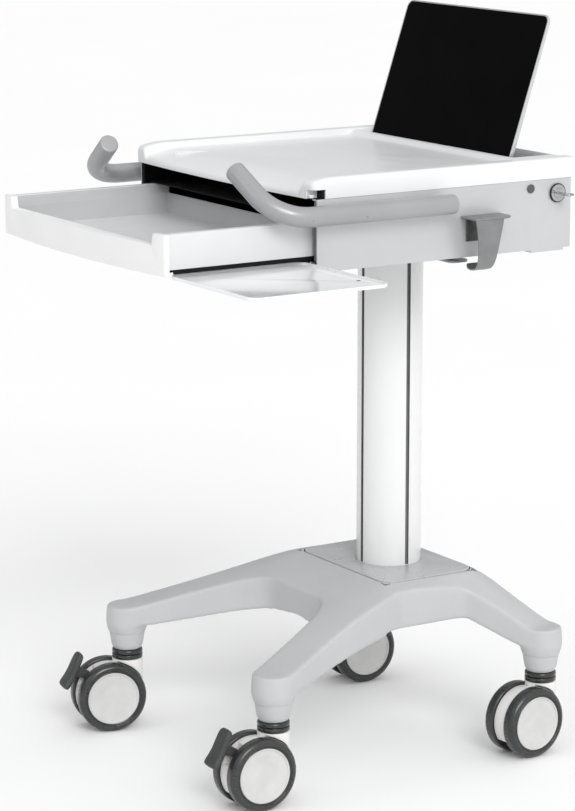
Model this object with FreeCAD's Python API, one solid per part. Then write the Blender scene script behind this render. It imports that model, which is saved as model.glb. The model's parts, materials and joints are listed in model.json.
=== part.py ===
import FreeCAD, Part
import math
import os

# Height-adjustable laptop cart for ward rounds: a four-caster base, a telescopic
# column, a lockable steel box with a moulded work surface, a drawer on
# telescopic slides, a swing-out mouse tray and a laptop standing in the rear slot.
# Units are millimetres.  +X is the cart's right side, -Y its front, +Z is up.
# The origin is on the floor, on the axis of the column.

Vector = FreeCAD.Vector
X_AXIS = Vector(1, 0, 0)
Y_AXIS = Vector(0, 1, 0)
Z_AXIS = Vector(0, 0, 1)

# ---------------------------------------------------------------- casters
WHEEL_RADIUS = 50.0
TYRE_INNER_RADIUS = 38.0
TYRE_INNER_FACE = 11.5        # from the caster's middle plane
TYRE_WIDTH = 18.0
TYRE_SHOULDER = 7.0           # outer edge rounding
TYRE_LIP = 2.0                # inner edge rounding
HUB_WEB_RADIUS = 33.0
HUB_BOSS_RADIUS = 12.0
HUB_DISH = 3.0                # how far the cap is hollowed
AXLE_RADIUS = 4.0
TRAIL = 29.0                  # stem axis to axle, level
HOOD_HALF_WIDTH = 10.5
HOOD_RADIUS = 46.0
NECK_RADIUS = 22.0
NECK_TOP = 102.0
COLLAR_RADIUS = 22.0
COLLAR_TOP = 116.5
STEM_RADIUS = 5.5
STEM_TOP = 148.0
PEDAL_PIVOT = (-58.0, 80.0)   # along the caster, height
PEDAL_PIN_RADIUS = 2.5
PEDAL_PIN_HALF = 9.0
PEDAL_HALF_WIDTH = 14.0
PEDAL_NECK_HALF = 5.0
STEM_FOOT = 78.0
PIN_FIT = 0.05                # radial clearance of a turning fit
BODY_GAP = 0.3                # clearance between pieces that slide past each other

# name, stem X, stem Y, yaw in degrees, has a brake pedal
CASTERS = (
    ("front_right", 198.0, -318.0, -2.0, True),
    ("front_left", -198.0, -318.0, -13.0, True),
    ("rear_right", 208.0, 117.0, 5.0, False),
    ("rear_left", -208.0, 117.0, -3.0, False),
)

# ---------------------------------------------------------------- base
SOCKET_BOTTOM = 117.1
SOCKET_BOTTOM_RADIUS = 20.5
SEAM_Z = 141.0                # where a socket meets the casting
SEAM_RADIUS = 26.0
SPIGOT_RADIUS = 12.0
SPIGOT_TOP = 163.0
FRONT_ARM = (95.0, -95.0, 50.0, 29.0)   # root X, root Y, half width there and half way
REAR_ARM = (100.0, 45.0, 34.0, 27.0)
ARM_MIDDLE_TOP = 206.0
ARM_MIDDLE_BOTTOM = 168.0
SOCKET_TOP = 153.0            # where the round end of an arm starts to taper
ARM_END_RADIUS = 29.5
ARM_END_TOP = 178.0
HUB_BOTTOM = 186.0
HUB_TOP = 246.5
PLATE_TOP = 248.0
PLATE_X = 112.0
PLATE_FRONT = -80.0
PLATE_REAR = 72.0
PLATE_CORNER = 22.0
PLATE_GAP = 0.8               # shadow gap round the plate

# ---------------------------------------------------------------- column
COLUMN_RADIUS = 46.0
COLUMN_TOP = 714.0
COLUMN_WALL = 7.0
GROOVE_WIDTH = 6.0
GROOVE_DEPTH = 3.5
MAST_WALL = 4.0
MAST_BOTTOM = 300.0
CYLINDER_RADIUS = 14.0
CYLINDER_TOP = 602.0
ROD_RADIUS = 5.0

# ---------------------------------------------------------------- box
BOX_X = 228.5
BOX_FRONT = -270.0
BOX_REAR = 138.0
BOX_BOTTOM = 716.8
BOX_TOP = 811.5
SHEET = 2.0
MAST_HOLE_RADIUS = 39.0
BRACKET_SCREWS = ((-55.0, -28.0), (-55.0, 76.0), (55.0, -28.0), (55.0, 76.0))
SCREW_HOLE_RADIUS = 3.2
SHELF_Z = 782.5
SHELF_SHEET = 1.6

# ---------------------------------------------------------------- work surface
COVER_X = 229.5
COVER_FRONT = -277.0          # at the corners; the middle stands out
COVER_REAR = 150.0
COVER_BOW = 9.0
COVER_CORNER = 7.0
COVER_BOTTOM = 811.8
COVER_TOP = 838.7
SURFACE_Z = 830.0
RIM_WIDTH = 26.0
PALM_REAR = -235.0            # the surface falls away in front of this
DIMPLE_DEPTH = 1.5
LEDGE_FRONT = 60.0
LEDGE_TOP = 836.5
SLOT_X = 178.0
SLOT_FRONT = 78.0
SLOT_REAR = 143.0
FRONT_BOW = 14.0              # how far the front edge stands out at its middle

# ---------------------------------------------------------------- drawer
DRAWER_X = 213.8
DRAWER_TRAVEL = 220.0
DRAWER_FRONT = -476.0         # back face of the front panel, drawer open
DRAWER_REAR = -240.0
DRAWER_BOTTOM = 736.5
DRAWER_SIDE_TOP = 781.5
DRAWER_BACK_TOP = 768.0
DRAWER_WALL = 2.5
PANEL_X = 219.0
PANEL_FRONT = -490.0
PANEL_BOTTOM = 729.0
PANEL_TOP = 782.0
NOTCH_X = 190.0
NOTCH_DEPTH = 15.0
RIM_FLANGE = 12.5             # width of the hollow side walls
SLIDE_FRONT = -254.0          # ends of the fixed member
SLIDE_REAR = -20.0
SLIDE_X = 204.5               # middle line of a slide
SLIDE_SHEET = 1.0
SLIDE_HALF_WIDTH = 7.5
MIDDLE_HALF_WIDTH = 4.5
MIDDLE_BOTTOM = 730.7
MIDDLE_TOP = 734.2
INNER_BOTTOM = 730.6

# ---------------------------------------------------------------- mouse tray
TRAY_LEFT = 200.0
TRAY_RIGHT = 404.0
TRAY_FRONT = -476.0
TRAY_REAR = -272.5
TRAY_BOTTOM = 720.0
TRAY_TOP = 728.4
TRAY_PIVOT = (210.0, -262.0)
TRAY_PIN_RADIUS = 3.0
TRAY_EAR_RADIUS = 8.5
TRAY_EAR_THICKNESS = 4.0
TRAY_CORNER = 16.0

# ---------------------------------------------------------------- laptop
LAPTOP_X = 168.0
LAPTOP_LEAN = 18.7            # degrees behind upright
LAPTOP_HINGE = (71.0, 800.0)  # Y, Z
LID_LENGTH = 236.0
LID_THICKNESS = 6.4
LID_CORNER = 12.0
LID_BEZEL = 2.0
GLASS_THICKNESS = 1.2
GLASS_BOTTOM = 9.0            # above the hinge, along the lid
BARREL_HALF = 120.0

# ---------------------------------------------------------------- fittings
HANDLE_RADIUS = 13.3
HANDLE_X = 250.0
HANDLE_Z = 793.5
HANDLE_REAR = -73.0
HANDLE_CORNER = -343.0
HANDLE_TIP = (167.0, -355.0, 847.0)
HANDLE_BEND = 56.0
HANDLE_FEET = (-100.0, -225.0)
FOOT_RADIUS = 7.0
HOOK_SHEET = 2.5
HOOK_REACH = 36.0
HOOK_FRONT = -45.0
HOOK_REAR = 19.0
HOOK_BOTTOM = 700.0
HOOK_TOP = 772.5
HOOK_CURL = 9.0
LOCK_Y = 115.0
LOCK_Z = 792.0
LOCK_FLANGE_RADIUS = 13.0
PLUG_RADIUS = 6.5             # turning plug of the lock
CAM_DEPTH = 26.0              # behind the side of the box
KEY_HALF = 0.95               # half the thickness of the key
CAP_Y = 70.5                  # small plug in the side of the box
CAP_Z = 800.5
LEVER_PIN = (118.0, 709.0)    # X, Z
LEVER_PIN_RADIUS = 2.0
LEVER_FRONT = -54.0
LEVER_REAR = -12.0
LEVER_TIP = 214.0


def block(x0, x1, y0, y1, z0, z1):
    """An upright box between two corners."""
    return Part.makeBox(x1 - x0, y1 - y0, z1 - z0, Vector(x0, y0, z0))


def rod(radius, start, end):
    """A cylinder from one point to another."""
    start, end = Vector(*start), Vector(*end)
    return Part.makeCylinder(radius, (end - start).Length, start, end - start)


def prism(points, travel):
    """The outline through the points, swept along the travel vector."""
    corners = [Vector(*p) for p in points]
    face = Part.Face(Part.makePolygon(corners + corners[:1]))
    return face.extrude(Vector(*travel))


def rounded_block(x0, x1, y0, y1, z0, z1, radius):
    """A box whose four upright edges are rounded."""
    shape = block(x0, x1, y0, y1, z0, z1)
    upright = [e for e in shape.Edges if abs(e.tangentAt(e.FirstParameter).z) > 0.99]
    return shape.makeFillet(radius, upright)


def fuse(shapes):
    """One solid from several touching ones."""
    whole = shapes[0].multiFuse(shapes[1:])
    return whole.removeSplitter()


def turned(profile, base, axis_up=True):
    """A closed (radius, height) outline turned about the Z axis."""
    points = [Vector(r, 0, z) for r, z in profile]
    face = Part.Face(Part.makePolygon(points + points[:1]))
    solid = face.revolve(Vector(0, 0, 0), Z_AXIS, 360)
    if not axis_up:
        solid.rotate(Vector(0, 0, 0), Y_AXIS, 90)
    solid.translate(Vector(*base))
    return solid


def mirrored(shape):
    """The same shape on the cart's other side."""
    return shape.mirror(Vector(0, 0, 0), X_AXIS)


def save(name, shape):
    """Write one sub-part."""
    shape.exportStep("parts/" + name + ".step")


# ================================================================= casters
def place_on_stem(shape, caster):
    """Turn a caster piece to its yaw and move it under its stem."""
    _, stem_x, stem_y, yaw, _ = caster
    shape.rotate(Vector(0, 0, 0), Z_AXIS, yaw)
    shape.translate(Vector(stem_x, stem_y, 0))
    return shape


def tyre(side):
    """One tyre with rounded shoulders, on the side +1 or -1 of the hood."""
    inner, outer = TYRE_INNER_FACE, TYRE_INNER_FACE + TYRE_WIDTH
    ring = Part.makeCylinder(WHEEL_RADIUS, TYRE_WIDTH, Vector(inner, 0, 0), X_AXIS)
    ring = ring.cut(Part.makeCylinder(TYRE_INNER_RADIUS, TYRE_WIDTH, Vector(inner, 0, 0), X_AXIS))
    for face_x, rounding in ((outer, TYRE_SHOULDER), (inner, TYRE_LIP)):
        rim = [e for e in ring.Edges if is_circle(e, WHEEL_RADIUS)
               and abs(e.CenterOfMass.x - face_x) < 0.1]
        ring = ring.makeFillet(rounding, rim)
    if side < 0:
        ring = mirrored(ring)
    ring.translate(Vector(0, -TRAIL, WHEEL_RADIUS))
    return ring


def is_circle(edge, radius):
    """True for a circular edge of this radius."""
    return isinstance(edge.Curve, Part.Circle) and abs(edge.Curve.Radius - radius) < 0.01


def wheel_hub(side):
    """Hub of one wheel: a dished outer cap, a web and a bore for the axle."""
    inner, outer = TYRE_INNER_FACE + 0.5, TYRE_INNER_FACE + TYRE_WIDTH - 1.0
    bore = AXLE_RADIUS + PIN_FIT
    web = inner + 6.0
    profile = [
        (bore, inner), (HUB_BOSS_RADIUS, inner), (HUB_BOSS_RADIUS, web),
        (HUB_WEB_RADIUS, web), (HUB_WEB_RADIUS, inner), (TYRE_INNER_RADIUS, inner),
        (TYRE_INNER_RADIUS, outer), (TYRE_INNER_RADIUS - 3.0, outer + 0.8),
        (30.0, outer - HUB_DISH * 0.6), (16.0, outer - HUB_DISH), (0.0, outer - HUB_DISH),
        (0.0, outer - 2 * HUB_DISH), (bore, outer - 2 * HUB_DISH),
    ]
    hub = turned(profile, (0, 0, 0), axis_up=False)
    if side < 0:
        hub = mirrored(hub)
    hub.translate(Vector(0, -TRAIL, WHEEL_RADIUS))
    return hub


def caster_axle():
    """The steel pin that both wheels of a caster turn on."""
    reach = TYRE_INNER_FACE + TYRE_WIDTH - 8.0
    return rod(AXLE_RADIUS, (-reach, -TRAIL, WHEEL_RADIUS), (reach, -TRAIL, WHEEL_RADIUS))


def caster_housing(braked):
    """The hood between the wheels and the neck that carries the stem."""
    hood = rod(HOOD_RADIUS, (-HOOD_HALF_WIDTH, -TRAIL, WHEEL_RADIUS),
               (HOOD_HALF_WIDTH, -TRAIL, WHEEL_RADIUS))
    floor_cut = prism([(-60, -120, -20), (-60, 40, -20), (-60, 40, 34), (-60, -120, 20)],
                      (120, 0, 0))
    neck = rod(NECK_RADIUS, (0, 0, 52), (0, 0, NECK_TOP))
    for side in (-1, 1):
        start = side * HOOD_HALF_WIDTH
        end = side * 40
        neck = neck.cut(rod(WHEEL_RADIUS + 1.5, (start, -TRAIL, WHEEL_RADIUS),
                            (end, -TRAIL, WHEEL_RADIUS)))
    housing = fuse([hood.cut(floor_cut), neck])
    housing = housing.cut(rod(AXLE_RADIUS, (-40, -TRAIL, WHEEL_RADIUS),
                              (40, -TRAIL, WHEEL_RADIUS)))
    housing = housing.cut(rod(STEM_RADIUS, (0, 0, STEM_FOOT), (0, 0, NECK_TOP + 1)))
    if braked:
        pivot_y, pivot_z = PEDAL_PIVOT
        slot = block(-7.5, 7.5, -110, pivot_y + 8, pivot_z - 15, 120)
        housing = housing.cut(slot)
        reach = PEDAL_PIN_HALF + 0.4
        housing = housing.cut(rod(PEDAL_PIN_RADIUS + PIN_FIT, (-reach, pivot_y, pivot_z),
                                  (reach, pivot_y, pivot_z)))
    return housing


def caster_stem():
    """Steel stem with the dark dust collar that hides the swivel bearing."""
    collar = rod(COLLAR_RADIUS, (0, 0, NECK_TOP), (0, 0, COLLAR_TOP))
    collar = collar.makeFillet(2.5, [e for e in collar.Edges if is_circle(e, COLLAR_RADIUS)])
    stem = rod(STEM_RADIUS, (0, 0, STEM_FOOT), (0, 0, STEM_TOP))
    return fuse([collar, stem])


def brake_pedal():
    """Rocking brake lever: a paddle behind the wheels and a neck to its pin."""
    pivot_y, pivot_z = PEDAL_PIVOT
    outline = ((-64, 110), (-72, 117), (-82, 115), (-90, 98), (-101, 79), (-100, 71),
               (-92, 66), (-87, 68), (-75, 92))
    paddle = prism([(-PEDAL_HALF_WIDTH, y, z) for y, z in outline],
                   (2 * PEDAL_HALF_WIDTH, 0, 0))
    upright = [e for e in paddle.Edges if abs(e.tangentAt(e.FirstParameter).x) > 0.99]
    paddle = paddle.makeFillet(2.2, upright)
    outline = ((-86, 84), (-76, 96), (pivot_y + 3, pivot_z + 5), (pivot_y + 3, pivot_z - 5),
               (pivot_y - 4, pivot_z - 5))
    neck = prism([(-PEDAL_NECK_HALF, y, z) for y, z in outline], (2 * PEDAL_NECK_HALF, 0, 0))
    pin = rod(PEDAL_PIN_RADIUS, (-PEDAL_PIN_HALF, pivot_y, pivot_z),
              (PEDAL_PIN_HALF, pivot_y, pivot_z))
    return fuse([paddle, neck, pin])


def build_casters():
    """All four casters, each with two wheels that turn on their own."""
    for caster in CASTERS:
        name, braked = "caster_" + caster[0], caster[4]
        save(name + "_housing", place_on_stem(caster_housing(braked), caster))
        save(name + "_stem", place_on_stem(caster_stem(), caster))
        save(name + "_axle", place_on_stem(caster_axle(), caster))
        for label, side in (("outer", 1), ("inner", -1)):
            save("%s_%s_tyre" % (name, label), place_on_stem(tyre(side), caster))
            save("%s_%s_hub" % (name, label), place_on_stem(wheel_hub(side), caster))
        if braked:
            save(name + "_pedal", place_on_stem(brake_pedal(), caster))


# ================================================================= base
def arm_section(centre, across, half_top, half_bottom, z_top, z_bottom):
    """Closed outline of an arm, upright, square to its run."""
    cx, cy = centre
    ax, ay = across
    edge = 5.0
    rows = ((-half_bottom, z_bottom), (-half_top, z_top - edge), (-half_top + edge, z_top),
            (half_top - edge, z_top), (half_top, z_top - edge), (half_bottom, z_bottom))
    points = [Vector(cx + ax * s, cy + ay * s, z) for s, z in rows]
    return Part.makePolygon(points + points[:1])


def base_arm(x, y):
    """A tapering arm from under the hub out to the caster stem at x, y."""
    root_x, root_y, start_half, middle_half = FRONT_ARM if y < 0 else REAR_ARM
    start, end = (math.copysign(root_x, x), root_y), (x, y)
    run = Vector(end[0] - start[0], end[1] - start[1], 0)
    unit = run * (1.0 / run.Length)
    across = (-unit.y, unit.x)

    def at(fraction):
        return (start[0] + run.x * fraction, start[1] + run.y * fraction)

    root = arm_section(at(0.0), across, start_half, start_half + 1, HUB_TOP - 4, HUB_BOTTOM)
    middle = arm_section(at(0.48), across, middle_half, middle_half + 1,
                         ARM_MIDDLE_TOP, ARM_MIDDLE_BOTTOM)
    tip = arm_section(at(1.0), across, ARM_END_RADIUS - 3, ARM_END_RADIUS - 1,
                      ARM_END_TOP, SOCKET_TOP)
    return Part.makeLoft([root, middle, tip], True, True)


def arm_end(x, y):
    """The round end of an arm over a caster socket."""
    top_radius = ARM_END_RADIUS - 2
    end = Part.makeCone(ARM_END_RADIUS, top_radius, ARM_END_TOP - SOCKET_TOP,
                        Vector(x, y, SOCKET_TOP))
    end = end.makeFillet(5.0, [e for e in end.Edges if is_circle(e, top_radius)])
    taper = Part.makeCone(SEAM_RADIUS, ARM_END_RADIUS, SOCKET_TOP - SEAM_Z, Vector(x, y, SEAM_Z))
    return fuse([end, taper])


def hub_outline(z, inset):
    """Plan outline of the hub, drawn in from its widest by an inset."""
    i = inset
    right = [(66 - i * 0.4, -157 + i), (104 - i * 0.8, -128 + i * 0.8), (138 - i, -58),
             (138 - i, 38), (116 - i * 0.8, 70 - i * 0.4), (92 - i * 0.4, 86 - i * 0.5)]
    left = [(-x, y) for x, y in reversed(right)]
    points = [Vector(x, y, z) for x, y in right + left]
    return Part.makePolygon(points + points[:1])


def base_casting():
    """Die-cast base: hub, four arms, hollow underneath."""
    hub = Part.makeLoft([hub_outline(HUB_BOTTOM, 0), hub_outline(228, 2),
                         hub_outline(HUB_TOP, 18)], True, True)
    shapes = [hub]
    for _, x, y, _, _ in CASTERS:
        shapes += [base_arm(x, y), arm_end(x, y)]
    casting = fuse(shapes)
    hollow = prism([(-52, -142, 0), (52, -142, 0), (118, -62, 0), (118, 40, 0),
                    (84, 74, 0), (-84, 74, 0), (-118, 40, 0), (-118, -62, 0)],
                   (0, 0, HUB_TOP - 14))
    casting = casting.cut(hollow)
    gap = PLATE_GAP
    recess = rounded_block(-PLATE_X - gap, PLATE_X + gap, PLATE_FRONT - gap, PLATE_REAR + gap,
                           HUB_TOP - 3, HUB_TOP + 5, PLATE_CORNER + gap)
    casting = casting.cut(recess)
    for _, x, y, _, _ in CASTERS:
        casting = casting.cut(rod(SPIGOT_RADIUS, (x, y, SEAM_Z - 1), (x, y, SPIGOT_TOP + 1)))
    return casting


def column_plate():
    """Cover plate round the foot of the column, let into the hub."""
    plate = rounded_block(-PLATE_X, PLATE_X, PLATE_FRONT, PLATE_REAR, HUB_TOP - 3, PLATE_TOP,
                          PLATE_CORNER)
    plate = plate.cut(rod(COLUMN_RADIUS + 0.2, (0, 0, HUB_TOP - 4), (0, 0, PLATE_TOP + 1)))
    return plate


def caster_sockets():
    """Four tapered sleeves, pressed into the arm ends, that hold the stems."""
    sleeves = []
    for _, x, y, _, _ in CASTERS:
        bore = STEM_RADIUS + PIN_FIT
        profile = [(bore, SOCKET_BOTTOM), (SOCKET_BOTTOM_RADIUS, SOCKET_BOTTOM),
                   (SOCKET_BOTTOM_RADIUS + 2.2, SOCKET_BOTTOM + 6), (SEAM_RADIUS - 0.4, SEAM_Z),
                   (SPIGOT_RADIUS, SEAM_Z), (SPIGOT_RADIUS, SPIGOT_TOP), (bore, SPIGOT_TOP)]
        sleeves.append(turned(profile, (x, y, 0)))
    return Part.makeCompound(sleeves)


# ================================================================= column
def column_tube():
    """Outer extrusion: a round tube with four full-length grooves."""
    floor = HUB_TOP - 3
    tube = rod(COLUMN_RADIUS, (0, 0, floor), (0, 0, COLUMN_TOP))
    for turn in range(4):
        groove = block(COLUMN_RADIUS - GROOVE_DEPTH, COLUMN_RADIUS + 5, -GROOVE_WIDTH / 2,
                       GROOVE_WIDTH / 2, PLATE_TOP, COLUMN_TOP)
        groove.rotate(Vector(0, 0, 0), Z_AXIS, turn * 90)
        tube = tube.cut(groove)
    bore = COLUMN_RADIUS - COLUMN_WALL
    return tube.cut(rod(bore, (0, 0, floor + 8), (0, 0, COLUMN_TOP + 1)))


def mast_tube():
    """Inner mast that slides in the column and carries the box."""
    radius = COLUMN_RADIUS - COLUMN_WALL - BODY_GAP
    top = BOX_BOTTOM + SHEET
    mast = rod(radius, (0, 0, MAST_BOTTOM), (0, 0, top))
    return mast.cut(rod(radius - MAST_WALL, (0, 0, MAST_BOTTOM - 1), (0, 0, top + 1)))


def gas_cylinder():
    """Pressure tube of the gas spring, standing in the column's foot."""
    bottom, top = HUB_TOP + 5, CYLINDER_TOP
    tube = rod(CYLINDER_RADIUS, (0, 0, bottom), (0, 0, top))
    tube = tube.cut(rod(CYLINDER_RADIUS - 2, (0, 0, bottom + 6), (0, 0, top - 8)))
    return tube.cut(rod(ROD_RADIUS + PIN_FIT, (0, 0, top - 9), (0, 0, top + 1)))


def gas_rod():
    """Piston and rod of the gas spring, fastened to the head bracket."""
    bottom = HUB_TOP + 14
    piston = rod(CYLINDER_RADIUS - 2 - BODY_GAP, (0, 0, bottom), (0, 0, bottom + 10))
    return fuse([piston, rod(ROD_RADIUS, (0, 0, bottom), (0, 0, BOX_BOTTOM + SHEET))])


def head_bracket():
    """Steel plate that joins the mast to the floor of the box."""
    floor = BOX_BOTTOM + SHEET
    plate = block(-70, 70, -42, 90, floor, floor + 5)
    for x, y in BRACKET_SCREWS:
        plate = plate.cut(rod(SCREW_HOLE_RADIUS, (x, y, floor - 1), (x, y, floor + 6)))
    return plate


# ================================================================= box
def box_pan():
    """Folded steel box: floor, two sides, back and inward top flanges."""
    pan = block(-BOX_X, BOX_X, BOX_FRONT, BOX_REAR, BOX_BOTTOM, BOX_TOP)
    pan = pan.cut(block(-BOX_X + SHEET, BOX_X - SHEET, BOX_FRONT - 1, BOX_REAR - SHEET,
                        BOX_BOTTOM + SHEET, BOX_TOP + 1))
    flange_z = BOX_TOP - SHEET
    shapes = [pan]
    for side in (-1, 1):
        x0, x1 = sorted((side * (BOX_X - 12), side * (BOX_X - SHEET / 2)))
        shapes.append(block(x0, x1, BOX_FRONT, BOX_REAR - 1, flange_z, BOX_TOP))
    shapes.append(block(-BOX_X, BOX_X, 73, 127, BOX_BOTTOM - 3.5, BOX_BOTTOM + 0.5))
    shapes += [block(112, 124, y, y + 2, 704, BOX_BOTTOM + 0.5) for y in (-54, -14)]
    pan = fuse(shapes)
    pan = pan.cut(rod(MAST_HOLE_RADIUS, (0, 0, BOX_BOTTOM - 1), (0, 0, BOX_BOTTOM + 3)))
    for x, y in BRACKET_SCREWS:
        pan = pan.cut(rod(SCREW_HOLE_RADIUS, (x, y, BOX_BOTTOM - 5), (x, y, BOX_BOTTOM + 3)))
    pin_x, pin_z = LEVER_PIN
    pan = pan.cut(rod(LEVER_PIN_RADIUS + PIN_FIT, (pin_x, LEVER_FRONT - 2, pin_z),
                      (pin_x, LEVER_REAR + 2, pin_z)))
    pan = pan.cut(rod(9.5, (BOX_X - 4, LOCK_Y, LOCK_Z), (BOX_X + 1, LOCK_Y, LOCK_Z)))
    return pan.cut(rod(4.5, (BOX_X - 4, CAP_Y, CAP_Z), (BOX_X + 1, CAP_Y, CAP_Z)))


def laptop_shelf():
    """Black shelf over the drawer: the laptop lies on it."""
    x = BOX_X - SHEET
    front, rear = BOX_FRONT + 8, 64
    top = SHELF_Z + SHELF_SHEET
    shelf = block(-x, x, front, rear, SHELF_Z, top)
    lip = block(x - SHELF_SHEET, x, front, rear, SHELF_Z - 6, top)
    return fuse([shelf, lip, mirrored(lip)])


def box_screws():
    """Screws that hold the head bracket and the two handles."""
    screws = []
    floor = BOX_BOTTOM + SHEET + 5
    for x, y in BRACKET_SCREWS:
        head = rod(5.5, (x, y, floor), (x, y, floor + 4))
        screws.append(fuse([head, rod(3.1, (x, y, BOX_BOTTOM), (x, y, floor + 1))]))
    for side in (-1, 1):
        for y in HANDLE_FEET:
            inner = side * (BOX_X - SHEET)
            head = rod(5.0, (inner - side * 3, y, HANDLE_Z), (inner, y, HANDLE_Z))
            screws.append(head)
    return Part.makeCompound(screws)


# ================================================================= work surface
def bowed_front(half_width, chord_y, bow, back_y, z0, z1):
    """A slab whose front edge is an arc standing out at its middle."""
    left, right = Vector(-half_width, chord_y, z0), Vector(half_width, chord_y, z0)
    front = Part.Arc(left, Vector(0, chord_y - bow, z0), right).toShape()
    back_right, back_left = Vector(half_width, back_y, z0), Vector(-half_width, back_y, z0)
    rest = Part.makePolygon([right, back_right, back_left, left])
    face = Part.Face(Part.Wire([front] + rest.Edges))
    return face.extrude(Vector(0, 0, z1 - z0))


def field_space(depth):
    """The space above the recessed field and the palm slope, let down by a depth."""
    rim_x = COVER_X - RIM_WIDTH
    field = prism([(-rim_x, -300, SURFACE_Z - 11), (-rim_x, -268, SURFACE_Z - 5),
                   (-rim_x, PALM_REAR, SURFACE_Z), (-rim_x, LEDGE_FRONT, SURFACE_Z),
                   (-rim_x, LEDGE_FRONT + 14, LEDGE_TOP), (-rim_x, SLOT_FRONT - 2, COVER_TOP + 5),
                   (-rim_x, -300, COVER_TOP + 5)], (2 * rim_x, 0, 0))
    field.translate(Vector(0, 0, -depth))
    return field


def top_cover():
    """Moulded work surface: rims on three sides, a rear slot for the laptop."""
    cover = bowed_front(COVER_X, COVER_FRONT, COVER_BOW, COVER_REAR, COVER_BOTTOM, COVER_TOP)
    upright = [e for e in cover.Edges if e.Length < 30
               and abs(e.tangentAt(e.FirstParameter).z) > 0.99]
    cover = cover.makeFillet(COVER_CORNER, upright)
    ledge_trim = block(-SLOT_X, SLOT_X, LEDGE_FRONT + 13, SLOT_REAR, LEDGE_TOP, COVER_TOP + 1)
    slot = block(-SLOT_X, SLOT_X, SLOT_FRONT, SLOT_REAR, COVER_BOTTOM - 1, COVER_TOP + 1)
    cover = cover.cut(field_space(0)).cut(ledge_trim).cut(slot)
    inside = COVER_X - 4
    hollow = block(-inside, inside, BOX_FRONT + 4, 70, COVER_BOTTOM - 1, SURFACE_Z - 3.5)
    palm_skin = block(-inside, inside, COVER_FRONT, PALM_REAR, SURFACE_Z - 8, SURFACE_Z)
    cover = cover.cut(hollow.cut(palm_skin))
    undercut = prism([(-SLOT_X, 69, COVER_BOTTOM - 1), (-SLOT_X, 79, COVER_BOTTOM - 1),
                      (-SLOT_X, 79, 834), (-SLOT_X, 77.5, 834), (-SLOT_X, 69, 824)],
                     (2 * SLOT_X, 0, 0))
    dimple = prism([(-125, -272, SURFACE_Z - 20), (-175, -242, SURFACE_Z - 20),
                    (-150, -205, SURFACE_Z - 20)], (0, 0, 30))
    dimple = dimple.common(field_space(DIMPLE_DEPTH))
    notch = block(COVER_X - 15, COVER_X + 9, COVER_FRONT - 12, BOX_FRONT + 12,
                  COVER_BOTTOM - 1, COVER_BOTTOM + 12)
    return cover.cut(undercut).cut(dimple).cut(notch)


# ================================================================= drawer
def drawer_tub():
    """Moulded tub: tall hollow sides, a lower back and an open top."""
    tub = block(-DRAWER_X, DRAWER_X, DRAWER_FRONT, DRAWER_REAR, DRAWER_BOTTOM, DRAWER_SIDE_TOP)
    wall = DRAWER_WALL
    inside = DRAWER_X - RIM_FLANGE
    tub = tub.cut(block(-inside, inside, DRAWER_FRONT + wall, DRAWER_REAR - wall,
                        DRAWER_BOTTOM + wall, DRAWER_SIDE_TOP + 1))
    hollow = block(inside + wall, DRAWER_X - wall, DRAWER_FRONT + wall, DRAWER_REAR - wall,
                   DRAWER_BOTTOM - 1, DRAWER_SIDE_TOP - wall)
    tub = tub.cut(hollow).cut(mirrored(hollow))
    back_cut = prism([(-inside, DRAWER_REAR - 12, DRAWER_SIDE_TOP + 1),
                      (-inside, DRAWER_REAR - 3, DRAWER_BACK_TOP),
                      (-inside, DRAWER_REAR + 1, DRAWER_BACK_TOP),
                      (-inside, DRAWER_REAR + 1, DRAWER_SIDE_TOP + 1)], (2 * inside, 0, 0))
    front_cut = block(-inside, inside, DRAWER_FRONT - 1, DRAWER_FRONT + wall + 1,
                      PANEL_TOP - NOTCH_DEPTH - 1, DRAWER_SIDE_TOP + 1)
    return tub.cut(back_cut).cut(front_cut)


def drawer_front():
    """Bowed front panel with a wide hand notch in its top edge."""
    panel = bowed_front(PANEL_X, PANEL_FRONT, FRONT_BOW, DRAWER_FRONT, PANEL_BOTTOM, PANEL_TOP)
    low = PANEL_TOP - NOTCH_DEPTH
    notch = prism([(-NOTCH_X - 3, -520, PANEL_TOP + 1), (-NOTCH_X, -520, low),
                   (NOTCH_X, -520, low), (NOTCH_X + 3, -520, PANEL_TOP + 1)], (0, 80, 0))
    panel = panel.cut(notch)
    corners = [e for e in panel.Edges if e.Length > 40
               and abs(e.tangentAt(e.FirstParameter).z) > 0.99 and e.CenterOfMass.y < -485]
    panel = panel.makeFillet(4, corners)
    pocket = block(-PANEL_X + 12, PANEL_X - 12, PANEL_FRONT + 4, DRAWER_FRONT - 3,
                   PANEL_BOTTOM - 1, low - 5)
    return panel.cut(pocket)


def inverted_channel(half_width, y0, y1, z0, z1):
    """A folded channel, open underneath, on the middle line of the right slide."""
    x0, x1 = SLIDE_X - half_width, SLIDE_X + half_width
    channel = block(x0, x1, y0, y1, z0, z1)
    return channel.cut(block(x0 + SLIDE_SHEET, x1 - SLIDE_SHEET, y0, y1, z0, z1 - SLIDE_SHEET))


def slide_outers():
    """Fixed members: an angle on each side of the box with a guide rib."""
    plate_z = TRAY_TOP + 0.5
    rib_z = plate_z + SLIDE_SHEET
    side = BOX_X - SHEET
    y0, y1 = SLIDE_FRONT, SLIDE_REAR
    angle = fuse([block(SLIDE_X - SLIDE_HALF_WIDTH, side, y0, y1, plate_z, rib_z),
                  block(side - SLIDE_SHEET, side, y0, y1, plate_z, plate_z + 22),
                  block(SLIDE_X - 2.3, SLIDE_X + 2.3, y0, y1, rib_z, rib_z + 2.7)])
    return Part.makeCompound([angle, mirrored(angle)])


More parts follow.
